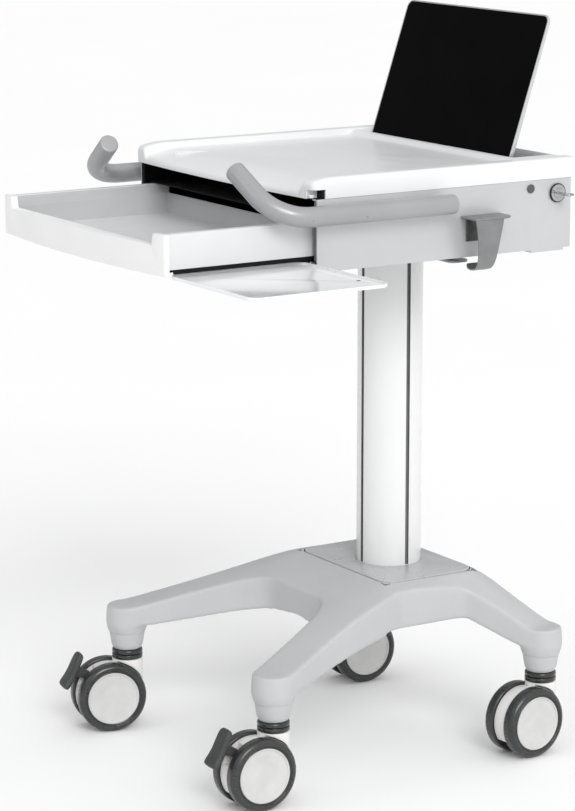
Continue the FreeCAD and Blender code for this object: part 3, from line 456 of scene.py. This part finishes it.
def stem_profile():
    """Half section of the stem and its grooved dust collar, from below."""
    top, radius = box_mm("caster_sockets")[0].z - 0.6, 22.0
    middle = (102.0 + top) / 2
    profile = [(5.5, 78.0), (5.5, 101.9), (radius - 2.6, 102.0)]
    profile += arc((radius - 2.6, 104.6), 2.6, -90, 0, 5)
    profile += arc((radius - 1.6, middle - 2.0), 1.6, 0, 55, 3)
    profile += [(radius - 1.9, middle)]
    profile += arc((radius - 1.6, middle + 2.0), 1.6, -55, 0, 3)
    profile += arc((radius - 3.2, top - 3.2), 3.2, 0, 90, 6)
    profile += [(12.0, top), (5.5, top + 0.2), (5.5, 148.0)]
    return profile


def pedal_rows():
    """Sections of the brake paddle: middle, half width and half thickness, top to bottom."""
    return ((-69.0, 113.6, 9.0, 2.6), (-71.5, 111.0, 12.0, 5.0), (-75.0, 103.5, 13.0, 5.6),
            (-79.5, 93.5, 13.4, 5.6), (-84.5, 83.5, 13.8, 5.4), (-89.5, 75.5, 15.0, 5.6),
            (-94.0, 69.0, 16.0, 5.8), (-97.0, 65.4, 14.6, 3.6))


def pedal(name):
    """Brake paddle with a flared foot, its neck and its pin, on one caster."""
    place, rows, count = caster_frame(name), pedal_rows(), 16
    points = []
    for index, (y, z, half_width, half_depth) in enumerate(rows):
        before, after = rows[max(0, index - 1)], rows[min(len(rows) - 1, index + 1)]
        along = Vector((0, after[0] - before[0], after[1] - before[1])).normalized()
        outward = Vector((1, 0, 0)).cross(along)
        for i in range(count):
            turn = 2 * math.pi * i / count
            cos, sin = math.cos(turn), math.sin(turn)
            across = math.copysign(abs(cos) ** 0.45, cos) * half_width
            out = math.copysign(abs(sin) ** 0.6, sin) * half_depth
            points.append(place @ ((Vector((across, y, z)) + outward * out) * MM))
    paddle = from_faces("caster_%s_pedal_body" % name, points, capped(len(rows), count))
    paddle.modifiers.new("round", "SUBSURF").levels = 2
    applied(paddle)
    outline = [(-86, 84), (-76, 96), (-56, 84.5), (-53.5, 80), (-56, 75.5), (-62, 75)]
    points = [place @ (Vector((x, y, z)) * MM) for x in (-5, 5) for y, z in outline]
    neck = bevelled(from_faces("tool", points, capped(2, len(outline))), 0.8)
    combine(paddle, neck, "UNION")
    pin_place = place @ Matrix.Translation(Vector((0, -58, 80)) * MM)
    combine(paddle, lathe("tool", [(2.5, -9), (2.5, 9)], pin_place, 32), "UNION")
    return piece(paddle, "caster_%s_pedal" % name)


def build_casters():
    """Wheels, stems, hoods and brakes of the four casters."""
    for name in CASTERS:
        node = "caster_%s" % name
        for wheel in WHEELS:
            place = wheel_frame(name, wheel)
            tyre_node = "%s_%s_tyre" % (node, wheel)
            tyre = lathe(tyre_node + "_body", tyre_profile(), place, closed=True)
            piece(tyre, tyre_node, smooth=40)
            hub_node = "%s_%s_hub" % (node, wheel)
            hub = lathe(hub_node + "_body", cap_profile(), place, closed=True)
            piece(hub, hub_node, "cap_white", smooth=28)
        stem = lathe(node + "_stem_body", stem_profile(), caster_frame(name) @ UPRIGHT, 64)
        piece(stem, node + "_stem", smooth=35)
        softened(node + "_housing", 1.1, angle=40)
        if node + "_pedal" in frame["nodes"]:
            pedal(name)
    low = box_mm("caster_sockets")[0].z
    bore, top = 5.55, 163.0
    profile = [(bore, low), (19.6, low), (20.4, low + 0.6), (22.6, low + 6),
               (25.3, SEAM - 1.5), (25.5, SEAM - 0.6), (25.0, SEAM), (12.0, SEAM), (12.0, top),
               (bore, top)]
    sleeves = []
    for name in CASTERS:
        x, y, _ = JOINTS["caster_%s_swivel" % name]["pos_m"]
        place = Matrix.Translation((x, y, 0)) @ UPRIGHT
        sleeves.append(lathe("caster_%s_socket_body" % name, profile, place, 64, closed=True))
    for index, sleeve in enumerate(sleeves):
        piece(sleeve, "caster_sockets", stands_in=index == 0)


# ---------------------------------------------------------------- base
def hull_of(bm, points):
    """Add the convex hull of some points, in mm, to a bmesh."""
    verts = [bm.verts.new(Vector(p) * MM) for p in points]
    result = bmesh.ops.convex_hull(bm, input=verts)
    spare = [v for v in result["geom_interior"] if isinstance(v, bmesh.types.BMVert)]
    spare += [v for v in result["geom_unused"] if isinstance(v, bmesh.types.BMVert)]
    bmesh.ops.delete(bm, geom=list(set(spare)), context="VERTS")


def circle(x, y, z, radius, count=32):
    """Points round a level circle."""
    return [(x + radius * math.cos(2 * math.pi * i / count),
             y + radius * math.sin(2 * math.pi * i / count), z) for i in range(count)]


def arm_section(start, end, fraction, half, z_bottom, z_top):
    """Four corners of an arm's section at a fraction of its run."""
    run = Vector((end[0] - start[0], end[1] - start[1]))
    across = Vector((-run.y, run.x)).normalized() * half
    middle = Vector(start) + run * fraction
    return [(middle.x + s * across.x, middle.y + s * across.y, z)
            for s in (-1, 1) for z in (z_bottom, z_top)]


def base_plan():
    """The plan of the casting as one upright, over-tall solid."""
    bm = bmesh.new()
    low, high = 100, 300
    edge = ((66, -157), (104, -128), (138, -58), (138, 38), (116, 70), (92, 86))
    hull_of(bm, [(x * side, y, z) for x, y in edge for side in (1, -1) for z in (low, high)])
    fillet = ((54, -156), (70, -160), (83, -169), (92, -183))
    behind = ((100, -150), (70, -140))
    for side in (1, -1):
        for first, second in zip(fillet, fillet[1:]):
            hull_of(bm, [(x * side, y, z) for x, y in (first, second, *behind)
                         for z in (low, high)])
    for x, y in STEMS:
        side = math.copysign(1, x)
        if y < 0:
            start = (side * 88, -80)
            widths = ((0.0, 50), (0.2, 42.5), (0.42, 33.5), (0.62, 30.5), (1.0, 29.2))
        else:
            start = (side * 88, 40)
            widths = ((0.0, 42), (0.3, 34), (0.6, 29.5), (1.0, 29.2))
        sections = [arm_section(start, (x, y), at, half, low, high) for at, half in widths]
        for first, second in zip(sections, sections[1:]):
            hull_of(bm, first + second)
        hull_of(bm, circle(x, y, low, 29.8) + circle(x, y, high, 29.8))
    return from_bmesh("base_casting_body", bm)


def base_top(x, y):
    """Height of the casting's top: level under the plate, then falling to the arm ends."""
    plate_top, arm_end, front_fall, rear_fall = 247.0, 180.0, 0.262, 0.612
    beyond = max(-68 - y, y - 60, 0)
    away = max(0.0, math.hypot(max(abs(x) - 100, 0), beyond) - 13)
    fall = front_fall + (rear_fall - front_fall) * smooth_step((y + 50) / 110)
    above_end = plate_top - fall * away - arm_end
    return arm_end + 0.5 * (above_end + math.hypot(above_end, 3.0))


def base_bottom(x, y):
    """Height of the casting's underside, rising from the arm ends to the hub."""
    arm_end, hub, front_rise, rear_rise = 153.0, 187.0, 0.15, 0.45
    tip = min(STEMS, key=lambda stem: math.hypot(stem[0] - x, stem[1] - y))
    away = max(0.0, math.hypot(tip[0] - x, tip[1] - y) - 29)
    return min(hub, arm_end + (front_rise if tip[1] < 0 else rear_rise) * away)


def remeshed(obj, voxel, factor, iterations):
    """Join overlapping solids and soften every edge."""
    voxels = obj.modifiers.new("join", "REMESH")
    voxels.mode = "VOXEL"
    voxels.voxel_size = voxel * MM
    soften = obj.modifiers.new("soften", "SMOOTH")
    soften.factor = factor
    soften.iterations = iterations
    return applied(obj)


def base_shell():
    """The casting: hub and arms run together with soft edges, then recessed for the plate."""
    plan = remeshed(base_plan(), 3.0, 0.8, 55)
    bm = bmesh.new()
    bm.from_mesh(plan.data)
    bpy.data.objects.remove(plan)
    for vert in bm.verts:
        x, y, z = vert.co / MM
        vert.co.z = min(max(z, base_bottom(x, y)), base_top(x, y)) * MM
    for x, y in STEMS:
        rings = ((138.0, 25.6), (153.0, 30.0), (173.0, 29.2))
        hull_of(bm, [point for z, radius in rings for point in circle(x, y, z, radius)])
    shell = remeshed(from_bmesh("base_casting_body", bm), 2.4, 0.6, 14)
    below_seam = block((-280, -380, 120), (280, 180, SEAM))
    plate_recess = column_of(rounded_rectangle(-113.6, 113.6, -81.6, 73.6, 23.6), 243.2, 270)
    underside = column_of(rounded_rectangle(-104, 104, -126, 62, 30), 120, 231)
    for tool in (below_seam, plate_recess, underside):
        combine(shell, tool)
    for x, y in STEMS:
        upright = Matrix.Translation((x * MM, y * MM, 0)) @ UPRIGHT
        combine(shell, lathe("tool", [(12.1, 120), (12.1, 164)], upright, 48))
    piece(shell, "base_casting", smooth=40)
    # Painted shade: the floor and walls of the gap round the base plate are dark grey.
    paint(shell, "groove_grey",
          lambda x, y, z: abs(x) < 113.9 and -82 < y < 74 and 242.8 < z < 246.4)


# ---------------------------------------------------------------- work surface
COVER_SIDE = 229.5
COVER_FRONT = -277.0
COVER_BACK = 150.0
COVER_TOP = 838.7
FIELD = 830.0                      # height of the sunk work field
SLOT = (178.0, 78.0, 143.0)        # half width, front edge, rear edge


def front_edge(x):
    """Y of the bowed front edge of the work surface."""
    return COVER_FRONT - 9.0 * (1 - (x / COVER_SIDE) ** 2)


def cover_height(x, y, edge):
    """Height of the moulded top; edge is the distance in from its outline."""
    rim = smooth_step((abs(x) - 198) / 9)
    slope = smooth_step((y - 57) / 17)
    fall = 9.5 * min(1.0, max(0.0, (-228 - y) / 52)) ** 1.5
    inner = FIELD + 6.6 * slope - fall
    rim_top = COVER_TOP - 5.0 * min(1.0, max(0.0, (-238 - y) / 38)) ** 2
    height = inner + (rim_top - inner) * rim
    radius = 7.0
    if edge < radius:
        height -= radius - math.sqrt(max(0.0, radius ** 2 - (radius - edge) ** 2))
    slot_gap = max(abs(x) - SLOT[0], SLOT[1] - y, y - SLOT[2])
    if 0 <= slot_gap < 1.0:
        height -= 1.0 - math.sqrt(max(0.0, 1 - (1 - slot_gap) ** 2))
    return height


def cover_lines():
    """Grid lines of the work surface: X positions, and rows as (kind, value)."""
    edge = [0, 0.15, 0.5, 1.1, 2.0, 3.1, 4.4, 5.8, 8.2]
    half = [i * 5.0 for i in range(35)]
    half += [174, 177, SLOT[0], 178.4, 179.2, 181, 185, 190, 194, 197]
    half += [198.5 + i * 1.25 for i in range(8)] + [211, 216]
    half += [COVER_SIDE - e for e in reversed(edge)]
    xs = sorted(set([-v for v in half] + half))
    rows = [("front", e) for e in edge + [11, 14.5, 18, 22, 26, 30, 34, 38, 42, 46]]
    rows += [("y", -226 + 3.0 * i) for i in range(9)] + [("y", -196 + 12.0 * i) for i in range(21)]
    rows += [("y", 50 + 2.0 * i) for i in range(13)] + [("y", 76), ("y", 77.2), ("y", SLOT[1])]
    rows += [("y", 90), ("y", 104), ("y", 118), ("y", 131), ("y", SLOT[2])]
    rows += [("y", 143.4), ("y", 144.2)] + [("y", COVER_BACK - e) for e in reversed(edge[:6])]
    return xs, rows


def rounded_corner(x, y, front):
    """Pull a point of the square plan in to round its corner; gives the edge distance too."""
    radius = 8.0
    inward_x = COVER_SIDE - abs(x)
    inward_y = y - front if y < 0 else COVER_BACK - y
    edge = min(inward_x, inward_y)
    if inward_x < radius and inward_y < radius:
        a, b = 1 - inward_x / radius, 1 - inward_y / radius
        a, b = a * math.sqrt(1 - b * b / 2), b * math.sqrt(1 - a * a / 2)
        edge = radius * (1 - math.hypot(a, b))
        x = math.copysign(COVER_SIDE - radius * (1 - a), x)
        y = front + radius * (1 - b) if y < 0 else COVER_BACK - radius * (1 - b)
    return x, y, edge


def top_cover():
    """Work surface as one closed moulding: top, skirt, slot walls and underside."""
    xs, rows = cover_lines()
    bottom_z = box_mm("top_cover")[0].z
    bm = bmesh.new()
    top, bottom = {}, {}
    for j, (kind, value) in enumerate(rows):
        for i, x in enumerate(xs):
            front = front_edge(x)
            y = front + value if kind == "front" else value
            px, py, edge = rounded_corner(x, y, front)
            if y > 0 and abs(px) > 215:
                edge = min(edge, COVER_SIDE - abs(px))
            top[i, j] = bm.verts.new(Vector((px, py, cover_height(px, py, edge))) * MM)
            by, bz = py, bottom_z
            if abs(x) <= SLOT[0] and 54 < y <= SLOT[1]:
                by = 54 + (y - 54) * (69 - 54) / (SLOT[1] - 54)
            if abs(x) < 216.5 and -218 < y < 47:
                bz = FIELD - 3.5
            bottom[i, j] = bm.verts.new(Vector((px, by, bz)) * MM)
    nx, ny = len(xs), len(rows)

    def open_cell(i, j):
        """Whether a cell of the grid lies in the slot."""
        kind, value = rows[j]
        return kind == "y" and SLOT[1] <= value < SLOT[2] and -SLOT[0] <= xs[i] < SLOT[0]

    cells = {(i, j) for i in range(nx - 1) for j in range(ny - 1) if not open_cell(i, j)}
    for i, j in cells:
        bm.faces.new([top[i, j], top[i + 1, j], top[i + 1, j + 1], top[i, j + 1]])
        bm.faces.new([bottom[i, j + 1], bottom[i + 1, j + 1], bottom[i + 1, j], bottom[i, j]])
    columns = {}

    def wall_column(key):
        """Points down a wall under one boundary point of the top."""
        if key not in columns:
            x, y, z = top[key].co / MM
            kind, value = rows[key[1]]
            slot_front = kind == "y" and value == SLOT[1] and abs(xs[key[0]]) <= SLOT[0]
            if slot_front:
                middle = [(x, 77.6, 834.0), (x, 69.0, 824.0)]
            else:
                middle = [(x, y, z - 0.3 * (z - bottom_z)), (x, y, z - 0.6 * (z - bottom_z))]
            inner = [bm.verts.new(Vector(p) * MM) for p in middle]
            columns[key] = [top[key]] + inner + [bottom[key]]
        return columns[key]

    for i, j in cells:
        sides = (((i, j), (i + 1, j), (i, j - 1)), ((i + 1, j), (i + 1, j + 1), (i + 1, j)),
                 ((i + 1, j + 1), (i, j + 1), (i, j + 1)), ((i, j + 1), (i, j), (i - 1, j)))
        for a, b, beyond in sides:
            if beyond in cells:
                continue
            left, right = wall_column(a), wall_column(b)
            for k in range(3):
                bm.faces.new([left[k], left[k + 1], right[k + 1], right[k]])
    cover = from_bmesh("top_cover_body", bm)
    notch = block((COVER_SIDE - 15, COVER_FRONT - 14, 805), (COVER_SIDE + 9, -258, 823.8))
    combine(cover, notch)
    dimple = ((-125, -276, 4.0), (-177, -244, 4.0), (-148, -203, 0.1))      # x, y, depth
    floor = [Vector((x, y, cover_height(x, y, 99) - depth)) * MM for x, y, depth in dimple]
    lid = [Vector((x, y, 850)) * MM for x, y, _ in dimple]
    combine(cover, from_faces("tool", floor + lid, capped(2, 3)))
    return piece(cover, "top_cover", smooth=40)


def front_corner_details():
    """Small parts at the front of the box: dark posts and a dark sheet of painted shade, and a pale catch in the
    notch.
    """
    catch = bevelled(block((217.0, -277.2, 812.8), (222.4, -270.5, 817.0)), 1.2)
    extra(catch, "top_cover", "cover_white", "corner_catch")
    # Painted shade: a black sheet at the back of the notch.
    shade_sheet = bevelled(block((215.0, -262.0, 812.2), (228.0, -258.6, 823.4)), 0.6)
    extra(shade_sheet, "top_cover", "shelf_black", "corner_notch_painted_shade")
    for name, side in (("right", 1), ("left", -1)):
        x0, x1 = sorted((side * 220.4, side * 226.8))
        # Painted shade: dark posts in the gaps beside the drawer at the box's front.
        post = bevelled(block((x0, -269.8, 731.0), (x1, -266.5, 811.2)), 0.8)
        extra(post, "box_pan", "groove_grey" if side > 0 else "shelf_black", "shade_post_" + name)


# ---------------------------------------------------------------- handles
def swept(name, path, radii, count=48):
    """A round bar along a path of points in mm, with its own radius at each point."""
    points = []
    side = None
    for index, (centre, radius) in enumerate(zip(path, radii)):
        before, after = path[max(0, index - 1)], path[min(len(path) - 1, index + 1)]
        if (after - before).length > 1e-6:
            along = (after - before).normalized()
        side = (side - along * side.dot(along) if side else along.orthogonal()).normalized()
        up = along.cross(side)
        for i in range(count):
            turn = 2 * math.pi * i / count
            offset = side * math.cos(turn) + up * math.sin(turn)
            points.append((centre + offset * radius) * MM)
    return from_faces(name, points, capped(len(path), count))


def handle(name, side):
    """Push handle: straight along the box, bent up and in at the front."""
    radius, bend = 13.3, 56.0
    x, z = side * 250.0, 793.5
    rear, corner = Vector((x, -70, z)), Vector((x, -343, z))
    tip = Vector((side * 167, -355, 847))
    inward, forward = (tip - corner).normalized(), Vector((0, -1, 0))
    tip = tip + inward * 3
    half = forward.angle(inward) / 2
    run = bend * math.tan(half)
    centre = corner + (inward - forward).normalized() * (bend / math.cos(half))
    start, end = corner - forward * run, corner + inward * run
    spoke = start - centre
    axis = forward.cross(inward).normalized()
    curve = [centre + Matrix.Rotation(2 * half * i / 24, 3, axis) @ spoke for i in range(25)]
    edge = 2.6
    turns = [math.radians(90 * i / 6) for i in range(7)]
    shrink = [radius - edge * (1 - math.sin(t)) for t in turns]
    rear_rings = [rear + forward * edge * (1 - math.cos(t)) for t in turns]
    tip_rings = [tip - inward * edge * (1 - math.cos(t)) for t in reversed(turns)]
    body = [rear + forward * (edge + (start - rear).length * i / 12) for i in range(1, 11)]
    path = rear_rings + body + curve + tip_rings
    radii = shrink + [radius] * (len(body) + len(curve)) + list(reversed(shrink))
    bar = swept("handle_%s_body" % name, path, radii)
    panel = box_mm("box_pan")[1].x
    for y in (-100, -225):
        foot = [Vector((side * (panel + d), y, z)) for d in (0, 1.2, 2.4, 3.2, 16)]
        combine(bar, swept("tool", foot, (9.4, 9.4, 8.4, 7.0, 7.0), 32), "UNION")
    return piece(bar, "handle_" + name, smooth=30)


def side_hook():
    """Bag hook: a tongue on the box, a curved tapering strap and an upturned lip."""
    low, high = box_mm("side_hook")
    reach = high.x
    tongue = arc((reach - 15, high.y - 15), 15, 0, 90, 10)
    tongue += [(low.x, high.y), (low.x, low.y)]
    tongue += arc((reach - 5, low.y + 5), 5, 270, 360, 5)
    hook = bevelled(column_of(tongue, high.z - 2.6, high.z, "side_hook_body"), 1.0, 3, 50)
    path = [(reach - 3, high.z - 1.5), (reach - 1.6, high.z - 6), (reach - 2.0, 748.0),
            (reach - 3.4, 732.0), (reach - 5.6, 718.0), (reach - 9.0, 709.0),
            (reach - 14.5, 703.6), (reach - 21.0, 701.6), (reach - 28.0, 701.4),
            (reach - 33.0, 702.4), (reach - 35.6, 705.0), (reach - 36.2, 708.5)]
    halves = [23.0, 22.0, 18.6, 16.4, 14.8, 13.8, 13.2, 12.8, 12.6, 12.4, 12.0, 11.0]
    middles = [low.y + 24.5 - 0.35 * min(i, 4) for i in range(len(halves))]
    half_sheet = 1.3
    points = []
    for index, (x, z) in enumerate(path):
        before, after = path[max(0, index - 1)], path[min(len(path) - 1, index + 1)]
        along = Vector((after[0] - before[0], 0, after[1] - before[1])).normalized()
        out = along.cross(Vector((0, 1, 0)))
        half, middle = halves[index], middles[index]
        for y, lift in ((-half, -1), (half, -1), (half, 1), (-half, 1)):
            points.append((Vector((x, middle + y, z)) + out * lift * half_sheet) * MM)
    strap = from_faces("tool", points, capped(len(path), 4))
    strap.modifiers.new("crease", "BEVEL").width = 0.5 * MM
    strap.modifiers.new("round", "SUBSURF").levels = 2
    applied(strap)
    combine(hook, strap, "UNION")
    plate = block((low.x, low.y + 9, 738), (low.x + 2.6, high.y - 20, high.z - 1))
    combine(hook, bevelled(plate, 0.8), "UNION")
    piece(hook, "side_hook", smooth=35)
    # Painted shade: the hook's back plate behind the strap is dark grey.
    paint(hook, "plug_grey", lambda x, y, z: x < low.x + 3 and z < high.z - 2)


# ---------------------------------------------------------------- the rest of the object
EDGE_MM = {                # edge rounding of the pieces that keep their CAD shape
    "column_tube": 0.7, "column_plate": 0.8, "box_pan": 0.7, "drawer_tub": 0.6,
    "drawer_front": 1.3, "mouse_tray": 0.8, "lift_lever": 0.6,
    "laptop_base": 1.5, "laptop_shelf": 0.3, "lock_body": 0.5,
    "lock_key": 0.35, "lock_plug": 0.3, "panel_plug": 0.3, "head_bracket": 0.5,
}


LID_LEAN = math.radians(18.7)


def thin_lid(point):
    """Bring the back of the laptop's screen housing forward, above the hinge barrel."""
    _, hinge_y, hinge_z = [v / MM for v in JOINTS["screen_tilt"]["pos_m"]]
    cos, sin = math.cos(LID_LEAN), math.sin(LID_LEAN)
    y, z = point.y - hinge_y, point.z - hinge_z
    across, up = y * cos - z * sin, y * sin + z * cos
    if up > 12:
        across = -3.2 + (across + 3.2) * 0.6
    return Vector((point.x, hinge_y + across * cos + up * sin, hinge_z - across * sin + up * cos))


def forward_tub(point):
    """Carry the drawer's side walls forward into the back of its front panel."""
    return Vector((point.x, point.y - (6.2 if point.y < -470 else 0), point.z))


def slim_front(point):
    """Halve the drawer's front panel behind its face."""
    y = -490 + (point.y + 490) * 0.5 if point.y > -490 else point.y
    return Vector((point.x, y, point.z))


def thin_tray(point):
    """Slim the mouse tray, all but the ear it swings on."""
    z = 724.2 + (point.z - 720) * 0.5 if point.y < -275.2 else point.z
    return Vector((point.x, point.y, z))


def build_panels():
    """Sheet-metal and moulded pieces whose shape is the CAD one with rounded edges."""
    # The drawer's front takes the lighter copy of its white: painted light.
    finish = {"drawer_front": "drawer_front_painted_light"}
    shape = {"drawer_front": slim_front, "drawer_tub": forward_tub, "mouse_tray": thin_tray}
    pieces = {node: softened(node, width, finish=finish.get(node), reshape=shape.get(node))
              for node, width in EDGE_MM.items()}
    softened("laptop_lid", 0.6, finish="laptop_silver", reshape=thin_lid)
    pan = box_mm("box_pan")[1]
    # Painted shade: the inside of the box is black.
    paint(pieces["box_pan"], "shelf_black",
          lambda x, y, z: abs(x) < pan.x - 1.2 and -269.4 < y < pan.y - 1.2 and z > 718.2)
    low, high = box_mm("drawer_tub")
    # Painted shade: the drawer's inside walls are darker than its outside, and its floor a little less dark.
    for slot, inset, top in (("drawer_inside_painted_shade", 2.4, high.z - 1), ("drawer_floor_painted_shade", 2.7, low.z + 6)):
        paint(pieces["drawer_tub"], slot,
              lambda x, y, z: (abs(x) < high.x - inset and y < high.y - inset
                               and low.z + 1.5 < z < top))
    paint(pieces["mouse_tray"], "plug_grey",
          lambda x, y, z: math.hypot(x - 348, y + 285.5) < 3.4 and abs(z - 724.8) < 0.55)
    # Painted shade: the inner faces of the column's grooves are dark grey.
    paint(pieces["column_tube"], "groove_grey",
          lambda x, y, z: 41.0 < math.hypot(x, y) < 45.3 and z > 248.5)
    paint(pieces["lock_body"], "lock_ring",
          lambda x, y, z: math.hypot(y - 115, z - 792) > 9.6)


def dress_remaining():
    """Give every CAD node that still shows its procedural finish."""
    for node, obj in frame["nodes"].items():
        slot = "lock_ring" if node == "box_screws" else NODE_SLOT[node]
        obj.data.materials.clear()
        obj.data.materials.append(FINISHES[slot])


# ---------------------------------------------------------------- stage, light and camera
def build_stage():
    """Pale floor, two soft lamps and a pale surround that is brighter on the right."""
    half = 40.0
    corners = ((-half, -half, 0), (half, -half, 0), (half, half, 0), (-half, half, 0))
    floor = from_faces("floor", corners, [(0, 1, 2, 3)])
    pale = Finish("floor_pale", 0.7, 0.0, 0.2).colour(grey(0.96), grey(0.95), 1.5)
    floor.data.materials.append(pale.material)
    world = bpy.data.worlds.new("studio")
    world.use_nodes = True
    nodes, links = world.node_tree.nodes, world.node_tree.links
    sky = nodes["Background"]
    sky.inputs["Color"].default_value = (1.0, 1.0, 1.0, 1)
    facing = nodes.new("ShaderNodeVectorMath")
    facing.operation = "DOT_PRODUCT"
    facing.inputs[1].default_value = (0.76, 0.12, 0.64)
    spread = nodes.new("ShaderNodeMapRange")
    spread.inputs["From Min"].default_value = -0.6
    spread.inputs["From Max"].default_value = 1.0
    spread.inputs["To Min"].default_value = 0.38
    spread.inputs["To Max"].default_value = 1.08
    links.new(nodes.new("ShaderNodeTexCoord").outputs["Generated"], facing.inputs[0])
    links.new(facing.outputs["Value"], spread.inputs["Value"])
    links.new(spread.outputs["Result"], sky.inputs["Strength"])
    bpy.context.scene.world = world
    target = Vector((0, -0.1, 0.55))
    sun = bpy.data.lights.new("key", "SUN")
    sun.energy = 1.35
    sun.angle = math.radians(28)
    softbox = bpy.data.lights.new("softbox", "AREA")
    softbox.size = 1.1
    softbox.energy = 4.0
    for lamp, place in ((sun, (3.0, -0.9, 2.6)), (softbox, (-0.4, -3.0, 2.2))):
        obj = bpy.data.objects.new(lamp.name, lamp)
        obj.location = place
        obj.rotation_euler = (target - Vector(place)).to_track_quat("-Z", "Y").to_euler()
        bpy.context.scene.collection.objects.link(obj)
    bpy.context.scene.view_settings.view_transform = "Standard"


def build_camera():
    """Long lens from the front right, a little above the work surface."""
    azimuth, elevation = math.radians(57.7), math.radians(12.05)
    back = Vector((math.sin(azimuth) * math.cos(elevation),
                   -math.cos(azimuth) * math.cos(elevation), math.sin(elevation)))
    camera = bpy.data.cameras.new("camera")
    camera.sensor_width = 36.0
    camera.lens = 133.2
    camera.clip_end = 200.0
    obj = bpy.data.objects.new("camera", camera)
    obj.location = (3.430, -2.339, 1.356)
    obj.rotation_euler = back.to_track_quat("Z", "Y").to_euler()
    bpy.context.scene.collection.objects.link(obj)
    bpy.context.scene.camera = obj


dress_remaining()
build_casters()
base_shell()
top_cover()
front_corner_details()
handle("right", 1)
handle("left", -1)
side_hook()
build_panels()
build_stage()
build_camera()
